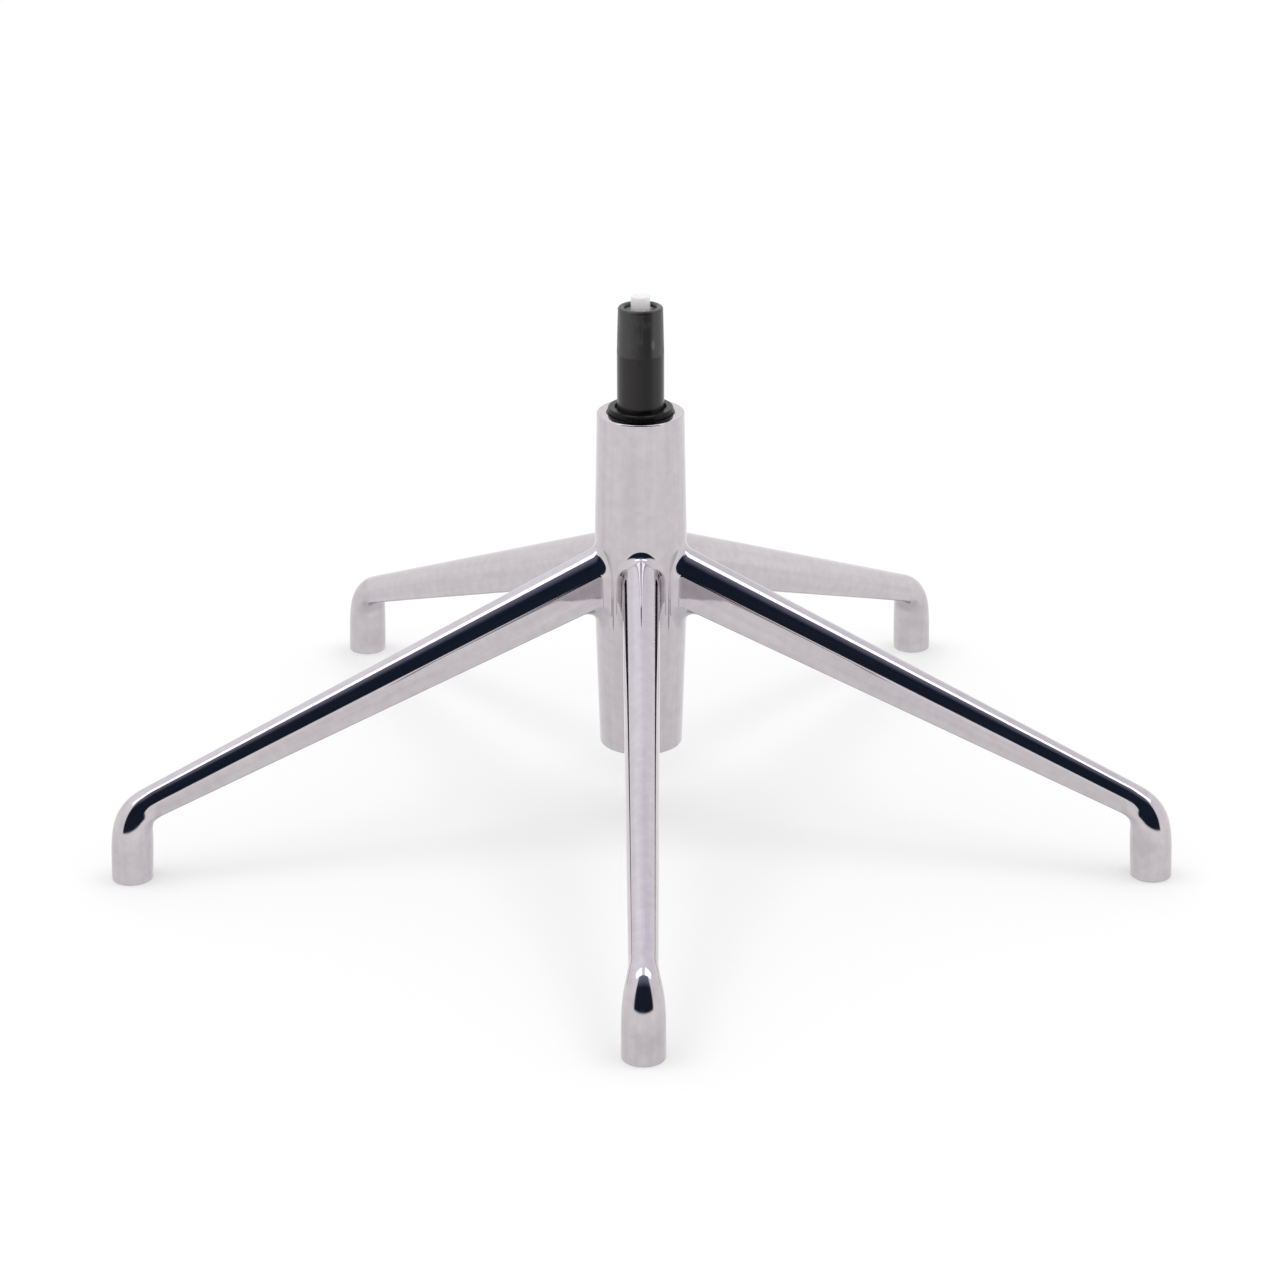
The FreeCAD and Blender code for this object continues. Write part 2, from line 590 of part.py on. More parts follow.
def knee_section(name, turn, crown_ratio, under_ratio, width_ratio, blend):
    outer = share(tip_crown, foot_crown, crown_ratio)
    inner = share(tip_under, foot_under, under_ratio)
    half = share(tip_half_width, foot_top_radius, width_ratio)
    corner = share(edge_round, foot_top_radius, blend)
    under = foot_top_radius / blend
    side = one / ((one - blend) / tip_side_round + blend / foot_top_radius)
    top = share(tip_crown_round, foot_top_radius, blend)
    sketch = new_sketch(casting, name, "XZ_Plane")
    lean_over(sketch, knee_reach, knee_height, turn)
    z = V(0, 0, 1)
    peak = V(0, outer.number - top.number, 0)
    lift = math.acos((side.number - half.number) / (side.number - top.number))
    centre = peak - V(math.cos(lift), math.sin(lift), 0) * (side.number - top.number)
    bed = V(0, inner.number + under.number, 0)
    side_reach = side.number - corner.number
    under_reach = under.number - corner.number
    apart = (bed - centre).Length
    spread = math.acos((apart ** 2 + side_reach ** 2 - under_reach ** 2) / (2 * apart * side_reach))
    fall = math.atan2(bed.y - centre.y, bed.x - centre.x) - spread
    bend = centre + V(math.cos(fall), math.sin(fall), 0) * side_reach
    swing = math.atan2(bend.y - bed.y, bend.x - bed.x)
    arcs = (
        (bed, under, -math.pi - swing, swing),
        (bend, corner, swing, fall),
        (centre, side, fall, lift),
        (peak, top, lift, math.pi - lift),
        (V(-centre.x, centre.y, 0), side, math.pi - lift, math.pi - fall),
        (V(-bend.x, bend.y, 0), corner, math.pi - fall, math.pi - swing),
    )
    for middle, radius, start, end in arcs:
        arc = Part.ArcOfCircle(Part.Circle(middle, z, radius.number), start, end)
        sketch.addGeometry(arc, False)
    for index in range(6):
        place = (index, 2, (index + 1) % 6, 1)
        sketch.addConstraint(Sketcher.Constraint("Tangent", *place))
    sketch.addConstraint(Sketcher.Constraint("Symmetric", 0, 1, 0, 2, -2))
    sketch.addConstraint(Sketcher.Constraint("Symmetric", 3, 1, 3, 2, -2))
    sketch.addConstraint(Sketcher.Constraint("Equal", 1, 5))
    sketch.addConstraint(Sketcher.Constraint("Equal", 2, 4))
    bind(sketch, "under_radius", under, "Radius", 0)
    bind(sketch, "corner_radius", corner, "Radius", 1)
    bind(sketch, "side_radius", side, "Radius", 2)
    bind(sketch, "crown_radius", top, "Radius", 3)
    bind(sketch, "under_centre", inner + under, "DistanceY", -1, 1, 0, 3)
    bind(sketch, "crown_centre", outer - top, "DistanceY", -1, 1, 3, 3)
    bind(sketch, "side_centre", side - half, "DistanceX", 2, 3, -1, 1)
    sketch.Visibility = False
    return sketch


root_section = arm_section("root_section", root_reach, 0, 0, root_floor, root_crown,
                           root_half_width, edge_round, camber_angle)
knee_section_a = arm_section("knee_section_a", knee_reach, knee_height, turn_angle_a, tip_under, tip_crown,
                             tip_half_width, edge_round, camber_angle)
knee_section_b = knee_section("knee_section_b", turn_angle_b, crown_ratio_b, under_ratio_b,
                              width_ratio_b, round_ratio_b)
knee_section_c = knee_section("knee_section_c", turn_angle_c, crown_ratio_c, under_ratio_c,
                              width_ratio_c, round_ratio_c)
knee_section_d = knee_section("knee_section_d", turn_angle_d, crown_ratio_d, under_ratio_d,
                              width_ratio_d, round_ratio_d)
foot_section_a = foot_section("foot_section_a", foot_top_reach, knee_height, foot_top_radius)
foot_section_b = foot_section("foot_section_b", foot_reach, foot_mid_height, foot_mid_radius)
foot_section_c = foot_section("foot_section_c", foot_reach, 0, foot_radius)


def loft(name, first, others):
    feature = casting.newObject("PartDesign::AdditiveLoft", name)
    feature.Profile = first
    feature.Sections = others
    feature.Ruled = False
    feature.Closed = False
    doc.recompute()
    return feature


arm = loft("arm", root_section, [knee_section_a])
knee = loft("knee", knee_section_a, [knee_section_b, knee_section_c, knee_section_d, foot_section_a])
foot = loft("foot", foot_section_a, [foot_section_b, foot_section_c])
arms = round_array(casting, "arms", [arm, knee, foot], arm_count)


# The edges where the five arms run into the turned hub: short ones on its band, near the arms' height.
def root_edges(shape):
    found = []
    for index, edge in enumerate(shape.Edges):
        middle = edge.valueAt((edge.FirstParameter + edge.LastParameter) / 2)
        on_band = abs(math.hypot(middle.x, middle.y) - hub_band_radius.number) < wall_bite.number / 8
        beside_arm = (root_floor - edge_round * 5).number < middle.z < (root_crown + edge_round).number
        if on_band and beside_arm and edge.BoundBox.ZLength < root_depth.number * 1.5:
            found.append("Edge" + str(index + 1))
    return found


def edges_at_floor(shape):
    found = []
    for index, edge in enumerate(shape.Edges):
        if edge.BoundBox.ZMax < 0.01 and edge.BoundBox.ZMin > -0.01:
            found.append("Edge" + str(index + 1))
    return found


soften(casting, "PartDesign::Fillet", "root_fillets", root_edges(arms.Shape), root_fillet)
soften(casting, "PartDesign::Fillet", "foot_rounding", edges_at_floor(casting.Shape), foot_round)
rim_edges = ring_edges(casting.Shape, hub_top_radius.number, hub_top.number)
soften(casting, "PartDesign::Fillet", "rim_rounding", rim_edges, hub_rim_round)
lower_edges = ring_edges(casting.Shape, hub_bottom_radius.number, hub_bottom.number)
soften(casting, "PartDesign::Fillet", "lower_rim_rounding", lower_edges, hub_foot_round)
mouth_edges = ring_edges(casting.Shape, bush_bore_radius.number, hub_top.number)
soften(casting, "PartDesign::Chamfer", "bore_lead_in", mouth_edges, bore_lead_in)

# A blind socket for a castor stem in each foot.
uncut_volume = casting.Shape.Volume
socket = new_sketch(casting, "socket_outline", "XY_Plane")
socket.addGeometry(Part.Circle(V(0, -foot_reach.number, 0), V(0, 0, 1), socket_radius.number), False)
socket.addConstraint(Sketcher.Constraint("PointOnObject", 0, 3, -2))
bind(socket, "socket_size", socket_radius, "Radius", 0)
bind(socket, "socket_reach", foot_reach, "DistanceY", 0, 3, -1, 1)
socket_cut = casting.newObject("PartDesign::Pocket", "socket_cut")
socket_cut.Profile = socket
socket_cut.Length = socket_depth.number
socket_cut.setExpression("Length", socket_depth.text)
socket_cut.Reversed = True
socket.Visibility = False
casting.Tip = socket_cut
doc.recompute()
if not socket_cut.Shape.Volume < uncut_volume - 1000:
    raise ValueError("the socket doesn't cut into the foot")
round_array(casting, "sockets", [socket_cut], arm_count)

# Guide bush: a plastic sleeve with a low ring above the hub and a recess round the column.
bush_bore = column_radius + slide_clearance
bush_ring_radius = bush_bore_radius - bush_ring_inset
bush_recess_radius = column_radius + bush_recess_width
bush_recess_floor = bush_ring_top - bush_recess_depth
bush_shoulder = hub_top - bore_lead_in
turned("guide_bush", [
    (bush_bore_radius, bush_bottom),
    (bush_bore_radius, bush_shoulder),
    (bush_ring_radius, bush_shoulder),
    (bush_ring_radius, bush_ring_top - bush_edge),
    (bush_ring_radius - bush_edge, bush_ring_top),
    (bush_recess_radius, bush_ring_top),
    (bush_recess_radius, bush_recess_floor),
    (bush_bore, bush_recess_floor),
    (bush_bore, bush_recess_floor - bush_land),
    (bush_bore + bush_relief, bush_recess_floor - bush_land - bush_relief),
    (bush_bore + bush_relief, bush_bottom + bush_land + bush_relief),
    (bush_bore, bush_bottom + bush_land),
    (bush_bore, bush_bottom),
])

# Thrust bearing: two grooved races with caged balls between them.
def race(name, bore, bottom):
    body = turned(name, [
        (bore, bottom),
        (race_radius, bottom),
        (race_radius, bottom + race_thick),
        (bore, bottom + race_thick),
    ])
    track = new_sketch(body, name + "_track", "XZ_Plane")
    middle = V(ball_ring.number, ball_height.number, 0)
    track.addGeometry(Part.Circle(middle, V(0, 0, 1), (ball_radius + ball_clearance).number), False)
    bind(track, "track_size", ball_radius + ball_clearance, "Radius", 0)
    bind(track, "track_reach", ball_ring, "DistanceX", -1, 1, 0, 3)
    bind(track, "track_up", ball_height, "DistanceY", -1, 1, 0, 3)
    full = body.Shape.Volume
    body.Tip = spin(body, track, name + "_track_cut", "PartDesign::Groove")
    if not body.Shape.Volume < full:
        raise ValueError("the ball track doesn't cut " + name)


race("lower_race", rod_end_radius + free_gap, web_top)
race("upper_race", rod_end_radius, upper_race_bottom)
pocket_radius = ball_radius + cage_play
cage_inner = ball_ring - pocket_radius - cage_wall
cage_outer = ball_ring + pocket_radius + cage_wall
cage_half = cage_thick / 2
cage = turned("bearing_cage", [
    (cage_inner, ball_height - cage_half),
    (cage_outer, ball_height - cage_half),
    (cage_outer, ball_height + cage_half),
    (cage_inner, ball_height + cage_half),
])
pocket = new_sketch(cage, "ball_pocket_outline", "XY_Plane")
pocket.addGeometry(Part.Circle(V(ball_ring.number, 0, 0), V(0, 0, 1), pocket_radius.number), False)
pocket.addConstraint(Sketcher.Constraint("PointOnObject", 0, 3, -1))
bind(pocket, "pocket_size", pocket_radius, "Radius", 0)
bind(pocket, "pocket_reach", ball_ring, "DistanceX", -1, 1, 0, 3)
pocket_cut = cut_through(cage, pocket, "ball_pocket")
round_array(cage, "ball_pockets", [pocket_cut], ball_count)

balls = new_body("bearing_balls")
balls.AllowCompound = True
half_ball = new_sketch(balls, "ball_outline", "XZ_Plane")
ball_middle = V(ball_ring.number, ball_height.number, 0)
ball_up = V(0, ball_radius.number, 0)
ball_circle = Part.Circle(ball_middle, V(0, 0, 1), ball_radius.number)
half_ball.addGeometry(Part.ArcOfCircle(ball_circle, -math.pi / 2, math.pi / 2), False)
half_ball.addGeometry(Part.LineSegment(ball_middle + ball_up, ball_middle - ball_up), False)
half_ball.addConstraint(Sketcher.Constraint("Coincident", 0, 2, 1, 1))
half_ball.addConstraint(Sketcher.Constraint("Coincident", 1, 2, 0, 1))
half_ball.addConstraint(Sketcher.Constraint("Vertical", 1))
half_ball.addConstraint(Sketcher.Constraint("PointOnObject", 0, 3, 1))
bind(half_ball, "ball_size", ball_radius, "Radius", 0)
bind(half_ball, "ball_reach", ball_ring, "DistanceX", -1, 1, 0, 3)
bind(half_ball, "ball_up", ball_height, "DistanceY", -1, 1, 0, 3)
ball = balls.newObject("PartDesign::Revolution", "ball")
ball.Profile = half_ball
ball.ReferenceAxis = (half_ball, ["Edge2"])
ball.Angle = 360
half_ball.Visibility = False
doc.recompute()
round_array(balls, "balls", [ball], ball_count)

# Piston rod with the pieces that turn with it.
turned("piston_rod", [
    (0, rod_end),
    (rod_end_radius - rod_end_edge, rod_end),
    (rod_end_radius, rod_end + rod_end_edge),
    (rod_end_radius, clip_bottom),
    (rod_neck_radius, clip_bottom),
    (rod_neck_radius, washer_bottom),
    (rod_end_radius, washer_bottom),
    (rod_end_radius, upper_race_top),
    (rod_radius, upper_race_top),
    (rod_radius, piston_bottom),
    (piston_spigot, piston_bottom),
    (piston_spigot, piston_top),
    (rivet_radius, piston_top),
    (rivet_radius - rivet_slope, piston_top + rivet_height),
    (0, piston_top + rivet_height),
])
turned("bump_stop", [
    (rod_radius, upper_race_top),
    (bumper_radius, upper_race_top),
    (bumper_radius, bumper_middle - bumper_waist),
    (bumper_radius - bumper_waist, bumper_middle),
    (bumper_radius, bumper_middle + bumper_waist),
    (bumper_radius, bumper_top - bumper_edge),
    (bumper_radius - bumper_edge, bumper_top),
    (rod_radius, bumper_top),
])
turned("piston", [
    (piston_spigot, piston_bottom),
    (piston_radius - small_edge, piston_bottom),
    (piston_radius, piston_bottom + small_edge),
    (piston_radius, ring_bottom),
    (piston_radius - ring_depth, ring_bottom),
    (piston_radius - ring_depth, ring_bottom + ring_height),
    (piston_radius, ring_bottom + ring_height),
    (piston_radius, piston_top - small_edge),
    (piston_radius - small_edge, piston_top),
    (piston_spigot, piston_top),
])
turned("piston_ring", [
    (piston_radius - ring_depth, ring_bottom),
    (inner_radius - seal_clearance, ring_bottom),
    (inner_radius - seal_clearance, ring_bottom + ring_height),
    (piston_radius - ring_depth, ring_bottom + ring_height),
])
turned("rod_washer", [
    (rod_end_radius, washer_bottom),
    (washer_radius, washer_bottom),
    (washer_radius, washer_top),
    (rod_end_radius, washer_top),
])

# Retaining clip: a flat ring open on one side, snapped into the groove of the rod.
clip = turned("retaining_clip", [
    (rod_neck_radius, clip_bottom),
    (clip_radius, clip_bottom),
    (clip_radius, washer_bottom),
    (rod_neck_radius, washer_bottom),
])
mouth = new_sketch(clip, "clip_mouth_outline", "XY_Plane")
mouth_reach = clip_radius + clip_mouth
outline(mouth, [
    (0, clip_mouth * -0.5),
    (mouth_reach, clip_mouth * -0.5),
    (mouth_reach, clip_mouth * 0.5),
    (0, clip_mouth * 0.5),
])
cut_through(clip, mouth, "clip_mouth")

# Column tube: straight, then tapered to fit a seat mechanism, with a rim rolled inwards.
column_lip_radius = column_bore - column_lip_width
column = turned("column_tube", [
    (column_lip_radius, column_bottom),
    (column_radius - column_edge, column_bottom),
    (column_radius, column_bottom + column_edge),
    (column_radius, taper_bottom),
    (taper_end_radius, taper_top),
    (taper_end_radius, rim_top),
    (rim_opening, rim_top),
    (rim_opening, rim_top - rim_thick),
    (taper_end_bore, rim_top - rim_thick),
    (taper_end_bore, taper_top),
    (column_bore, taper_bottom),
    (column_bore, guide_bottom),
    (column_lip_radius, guide_bottom),
])
rim_outer = ring_edges(column.Shape, taper_end_radius.number, rim_top.number)
soften(column, "PartDesign::Fillet", "rim_round_outside", rim_outer, rim_round)
rim_inner = ring_edges(column.Shape, rim_opening.number, rim_top.number)
soften(column, "PartDesign::Fillet", "rim_round_inside", rim_inner, rim_round)

# What the column tube holds: rod guide, seal, washer, inner tube and valve.
turned("rod_guide", [
    (rod_radius + slide_clearance, guide_bottom),
    (column_bore - small_edge, guide_bottom),
    (column_bore, guide_bottom + small_edge),
    (column_bore, guide_top),
    (rod_radius + slide_clearance, guide_top),
])
turned("rod_seal", [
    (rod_radius + seal_clearance, guide_top),
    (column_bore, guide_top),
    (column_bore, seal_top),
    (column_bore - seal_edge, seal_top),
    (column_bore - seal_edge - seal_slope, seal_top - seal_lip_height),
    (rod_radius + seal_lip + seal_slope, seal_top - seal_lip_height),
    (rod_radius + seal_lip, seal_top),
    (rod_radius + seal_clearance, seal_top),
])
turned("seal_washer", [
    (rod_radius + free_gap, seal_top),
    (column_bore, seal_top),
    (column_bore, seal_washer_top),
    (rod_radius + free_gap, seal_washer_top),
])
turned("inner_tube", [
    (inner_radius, seal_washer_top),
    (inner_radius + inner_wall, seal_washer_top),
    (inner_radius + inner_wall, inner_top),
    (inner_radius, inner_top),
])
valve_well = valve_radius - valve_well_wall
valve_spigot_bore = inner_radius - valve_spigot_wall
turned("valve_body", [
    (valve_spigot_bore, inner_top - valve_spigot),
    (inner_radius, inner_top - valve_spigot),
    (inner_radius, inner_top),
    (valve_radius, inner_top),
    (valve_radius, valve_groove_bottom),
    (valve_radius - valve_groove, valve_groove_bottom),
    (valve_radius - valve_groove, valve_groove_top),
    (valve_radius, valve_groove_top),
    (valve_radius, support_bottom),
    (valve_well, support_bottom),
    (valve_well, valve_top),
    (pin_bore, valve_top),
    (pin_bore, pin_seal_top),
    (pin_seal_radius, pin_seal_top),
    (pin_seal_radius, pin_seal_bottom),
    (pin_bore, pin_seal_bottom),
    (pin_bore, inner_top),
    (valve_spigot_bore, inner_top),
])
turned("valve_seal", [
    (valve_radius - valve_groove, valve_groove_bottom),
    (seal_ring_radius, valve_groove_bottom),
    (seal_ring_radius, valve_groove_top),
    (valve_radius - valve_groove, valve_groove_top),
])
turned("pin_seal", [
    (pin_radius + seal_clearance, pin_seal_bottom),
    (pin_seal_radius, pin_seal_bottom),
    (pin_seal_radius, pin_seal_top),
    (pin_radius + seal_clearance, pin_seal_top),
])
turned("support_ring", [
    (support_opening, support_bottom),
    (taper_end_bore, support_bottom),
    (taper_end_bore, rim_top - rim_thick),
    (rim_opening + support_land, rim_top - rim_thick),
    (support_opening, support_bottom + support_thick),
])

# Valve pin and the release button that sits on it.
turned("valve_pin", [
    (0, pin_head_top - pin_head_height),
    (pin_head_radius, pin_head_top - pin_head_height),
    (pin_head_radius, pin_head_top - pin_head_slope),
    (pin_radius, pin_head_top),
    (pin_radius, pin_top),
    (0, pin_top),
])
button_hollow = button_radius - button_wall
button_hollow_top = button_bottom + button_hollow_depth
button = turned("release_button", [
    (pin_radius, button_hollow_top),
    (button_hollow, button_hollow_top),
    (button_hollow, button_bottom),
    (button_radius, button_bottom),
    (button_skirt, button_top),
    (0, button_top),
    (0, pin_top),
    (pin_radius, pin_top),
])
button_edges = ring_edges(button.Shape, button_skirt.number, button_top.number)
soften(button, "PartDesign::Fillet", "button_round", button_edges, button_round)

doc.recompute()
problems = []
for item in doc.Objects:
    if "Invalid" in item.State or "Error" in item.State:
        problems.append(item.Name)
bodies = [item for item in doc.Objects if item.TypeId == "PartDesign::Body"]
for body in bodies:
    if body.Shape.isNull() or not body.Shape.isValid() or not body.Shape.Solids:
        problems.append(body.Name)
if problems:
    raise ValueError("not built: " + ", ".join(problems))
os.makedirs("parts", exist_ok=True)
for body in bodies:
    body.Shape.exportStep(os.path.join("parts", body.Label + ".step"))
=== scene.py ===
import json
import math

import bpy
import numpy as np
from mathutils import Matrix, Vector
from mathutils.geometry import delaunay_2d_cdt


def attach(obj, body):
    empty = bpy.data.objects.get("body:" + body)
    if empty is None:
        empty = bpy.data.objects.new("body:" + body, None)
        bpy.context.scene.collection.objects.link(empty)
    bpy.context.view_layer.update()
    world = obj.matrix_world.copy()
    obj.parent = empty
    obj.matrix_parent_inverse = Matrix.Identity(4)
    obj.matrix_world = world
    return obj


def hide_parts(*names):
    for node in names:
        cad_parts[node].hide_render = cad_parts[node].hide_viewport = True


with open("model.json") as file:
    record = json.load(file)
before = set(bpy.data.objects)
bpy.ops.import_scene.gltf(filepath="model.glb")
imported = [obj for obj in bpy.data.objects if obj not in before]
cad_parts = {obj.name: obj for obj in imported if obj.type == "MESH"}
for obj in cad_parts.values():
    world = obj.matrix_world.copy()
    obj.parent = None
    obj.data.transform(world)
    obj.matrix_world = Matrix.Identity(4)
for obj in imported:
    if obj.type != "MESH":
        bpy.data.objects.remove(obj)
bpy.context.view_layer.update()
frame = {"nodes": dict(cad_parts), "record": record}

MM = 0.001

# Camera: fitted to the feet, the hub and the column of the photograph
CAMERA_PLACE = (-7.01, -1976.46, 924.33)
CAMERA_YAW = 0.00326
CAMERA_PITCH = 0.3904
CAMERA_ROLL = -0.0016
LENS = 98.81
SENSOR = 36.0
CLIP_END = 50.0


def add_camera():
    yaw, pitch, roll = CAMERA_YAW, CAMERA_PITCH, CAMERA_ROLL
    forward = Vector((math.sin(yaw) * math.cos(pitch), math.cos(yaw) * math.cos(pitch), -math.sin(pitch)))
    level = Vector((math.cos(yaw), -math.sin(yaw), 0.0))
    upward = level.cross(forward)
    right = level * math.cos(roll) + upward * math.sin(roll)
    up = right.cross(forward)
    camera = bpy.data.objects.new("camera", bpy.data.cameras.new("camera"))
    camera.data.lens = LENS
    camera.data.sensor_width = SENSOR
    camera.data.clip_end = CLIP_END
    turn = Matrix((right, up, -forward)).transposed().to_4x4()
    camera.matrix_world = Matrix.Translation(Vector(CAMERA_PLACE) * MM) @ turn
    bpy.context.scene.collection.objects.link(camera)
    bpy.context.scene.camera = camera


# Small helpers for node trees
SPOT_CORE = 0.3


class Nodes:
    def __init__(self, tree):
        self.tree = tree
        tree.nodes.clear()

    def add(self, kind, **settings):
        node = self.tree.nodes.new(kind)
        for name, value in settings.items():
            setattr(node, name, value)
        return node

    def join(self, out, into):
        self.tree.links.new(out, into)

    def math(self, operation, first, second=None, clamp=False):
        node = self.add("ShaderNodeMath", operation=operation, use_clamp=clamp)
        for index, value in enumerate((first, second)):
            if value is None:
                continue
            if isinstance(value, (int, float)):
                node.inputs[index].default_value = value
            else:
                self.join(value, node.inputs[index])
        return node.outputs[0]

    def spread(self, value, low, high, to_low=0.0, to_high=1.0, smooth=True):
        node = self.add("ShaderNodeMapRange")
        node.interpolation_type = "SMOOTHSTEP" if smooth else "LINEAR"
        self.join(value, node.inputs["Value"])
        for name, number in (("From Min", low), ("From Max", high), ("To Min", to_low), ("To Max", to_high)):
            node.inputs[name].default_value = number
        return node.outputs["Result"]

    def mix(self, factor, first, second):
        node = self.add("ShaderNodeMix", data_type="RGBA")
        for index, value in ((0, factor), (6, first), (7, second)):
            if isinstance(value, (int, float)):
                node.inputs[index].default_value = value
            elif isinstance(value, tuple):
                node.inputs[index].default_value = value + (1.0,)
            else:
                self.join(value, node.inputs[index])
        return node.outputs[2]

    def blend(self, factor, first, second):
        return self.math("ADD", self.math("MULTIPLY", self.math("SUBTRACT", second, first), factor), first)

    # The object's own coordinates, and the distance and turn from its upright axis.
    def places(self):
        split = self.add("ShaderNodeSeparateXYZ")
        self.join(self.add("ShaderNodeTexCoord").outputs["Object"], split.inputs[0])
        x, y, z = split.outputs
        reach = self.math("SQRT", self.math("ADD", self.math("MULTIPLY", x, x), self.math("MULTIPLY", y, y)))
        return x, y, z, reach, self.math("ARCTAN2", y, x)

    # Soft noise, with the grain's size in metres along each of three values.
    def cloud(self, values, sizes, detail=2.0):
        vector = self.add("ShaderNodeCombineXYZ")
        for index, (value, size) in enumerate(zip(values, sizes)):
            self.join(self.math("DIVIDE", value, size), vector.inputs[index])
        node = self.add("ShaderNodeTexNoise")
        node.inputs["Scale"].default_value = 1.0
        node.inputs["Detail"].default_value = detail
        self.join(vector.outputs[0], node.inputs["Vector"])
        return node.outputs["Fac"]

    # One inside a small upright egg round a place in millimetres, falling to zero at its edge.
    def spot(self, coordinates, centre, size, tall=1.0):
        squares = []
        for value, middle, stretch in zip(coordinates, centre, (1.0, 1.0, tall)):
            off = self.math("DIVIDE", self.math("SUBTRACT", value, middle * MM), stretch)
            squares.append(self.math("MULTIPLY", off, off))
        far = self.math("SQRT", self.math("ADD", self.math("ADD", squares[0], squares[1]), squares[2]))
        return self.spread(far, size * MM, size * MM * SPOT_CORE)

    def relief(self, shader, height, depth):
        node = self.add("ShaderNodeBump")
        node.inputs["Distance"].default_value = depth * MM
        self.join(height, node.inputs["Height"])
        self.join(node.outputs[0], shader.inputs["Normal"])


# Stage: a white floor, soft light all round, and the surroundings that polished metal mirrors
FLOOR_HALF = 6.0
FLOOR_COLOUR = (0.62, 0.62, 0.62)
FLOOR_GLOW = 0.38
DAYLIGHT = 0.80
LAMP_PLACE = (0.9, 0.15, 2.0)
LAMP_SPREAD = 0.45
LAMP_STRENGTH = 0.40
# Directions are unit vectors: z is the sine of the height angle, and the camera stands towards -y.
NEAR_FLOOR = -0.60
FAR_FLOOR = -0.25
NEAR_FLOOR_SHADE = (0.86, 0.85, 0.87)
FAR_FLOOR_SHADE = (1.10, 1.08, 1.09)
LEFT_CEILING_SHADE = (1.20, 1.19, 1.27)
RIGHT_CEILING_SHADE = (1.02, 1.00, 1.08)
ROOM_DARK = (0.012, 0.018, 0.036)
ROOM_HIGH_SHADE = (0.22, 0.23, 0.33)
ROOM_FOOT = -0.125
ROOM_FOOT_BLUR = 0.03
CEILING_RISE = (0.2, 0.7)
CEILING_SIDES = (-0.4, 0.4)
HORIZON = 0.01
LEAST_LEVEL = 0.001
ROOM_HALF_TURN = 0.62
ROOM_TURN_BLUR = 0.06
# The room ends overhead where the way forward is this share of the way up, and two panels hang behind.
ROOM_TOP = 0.40
ROOM_TOP_BLUR = 0.02
ROOM_FADE = (1.1, 0.35)
PANEL_ACROSS = 0.60
PANEL_HALF_ACROSS = 0.40
PANEL_ALONG = 0.25
PANEL_HALF_ALONG = 0.12
PANEL_BLUR = 0.03
PANEL_SHADE = (2.9, 2.85, 2.95)


def mirrored_surroundings(n):
    way = n.add("ShaderNodeTexCoord").outputs["Generated"]
    split = n.add("ShaderNodeSeparateXYZ")
    n.join(way, split.inputs[0])
    x, y, z = split.outputs
    forward = n.math("MULTIPLY", y, -1.0)
    level = n.math("SQRT", n.math("ADD", n.math("MULTIPLY", x, x), n.math("MULTIPLY", y, y)))
    ahead = n.math("DIVIDE", forward, n.math("MAXIMUM", level, LEAST_LEVEL))
    rise = n.math("MAXIMUM", z, HORIZON)
    forward_share = n.math("DIVIDE", forward, rise)
    across_share = n.math("DIVIDE", n.math("ABSOLUTE", x), rise)

    light = n.mix(n.spread(z, NEAR_FLOOR, FAR_FLOOR, smooth=False), NEAR_FLOOR_SHADE, FAR_FLOOR_SHADE)
    ceiling = n.mix(n.spread(x, *CEILING_SIDES), LEFT_CEILING_SHADE, RIGHT_CEILING_SHADE)
    light = n.mix(n.spread(z, *CEILING_RISE), light, ceiling)
    off_panel = n.math("SUBTRACT", across_share, PANEL_ACROSS)
    beside = n.spread(n.math("ABSOLUTE", off_panel), PANEL_HALF_ACROSS + PANEL_BLUR, PANEL_HALF_ACROSS)
    off_panel = n.math("SUBTRACT", forward_share, PANEL_ALONG)
    along = n.spread(n.math("ABSOLUTE", off_panel), PANEL_HALF_ALONG + PANEL_BLUR, PANEL_HALF_ALONG)
    light = n.mix(n.math("MULTIPLY", beside, along), light, PANEL_SHADE)

    below_top = n.spread(forward_share, ROOM_TOP - ROOM_TOP_BLUR, ROOM_TOP + ROOM_TOP_BLUR)
    above_foot = n.spread(z, ROOM_FOOT - ROOM_FOOT_BLUR, ROOM_FOOT + ROOM_FOOT_BLUR)
    facing = n.spread(ahead, ROOM_HALF_TURN - ROOM_TURN_BLUR, ROOM_HALF_TURN + ROOM_TURN_BLUR)
    before = n.math("MAXIMUM", below_top, n.math("LESS_THAN", z, HORIZON))
    dark = n.math("MULTIPLY", n.math("MULTIPLY", before, above_foot), facing)
    fade = n.math("MULTIPLY", n.spread(forward_share, *ROOM_FADE), n.math("GREATER_THAN", z, HORIZON))
    room = n.mix(fade, ROOM_DARK, ROOM_HIGH_SHADE)
    return n.mix(dark, light, room)


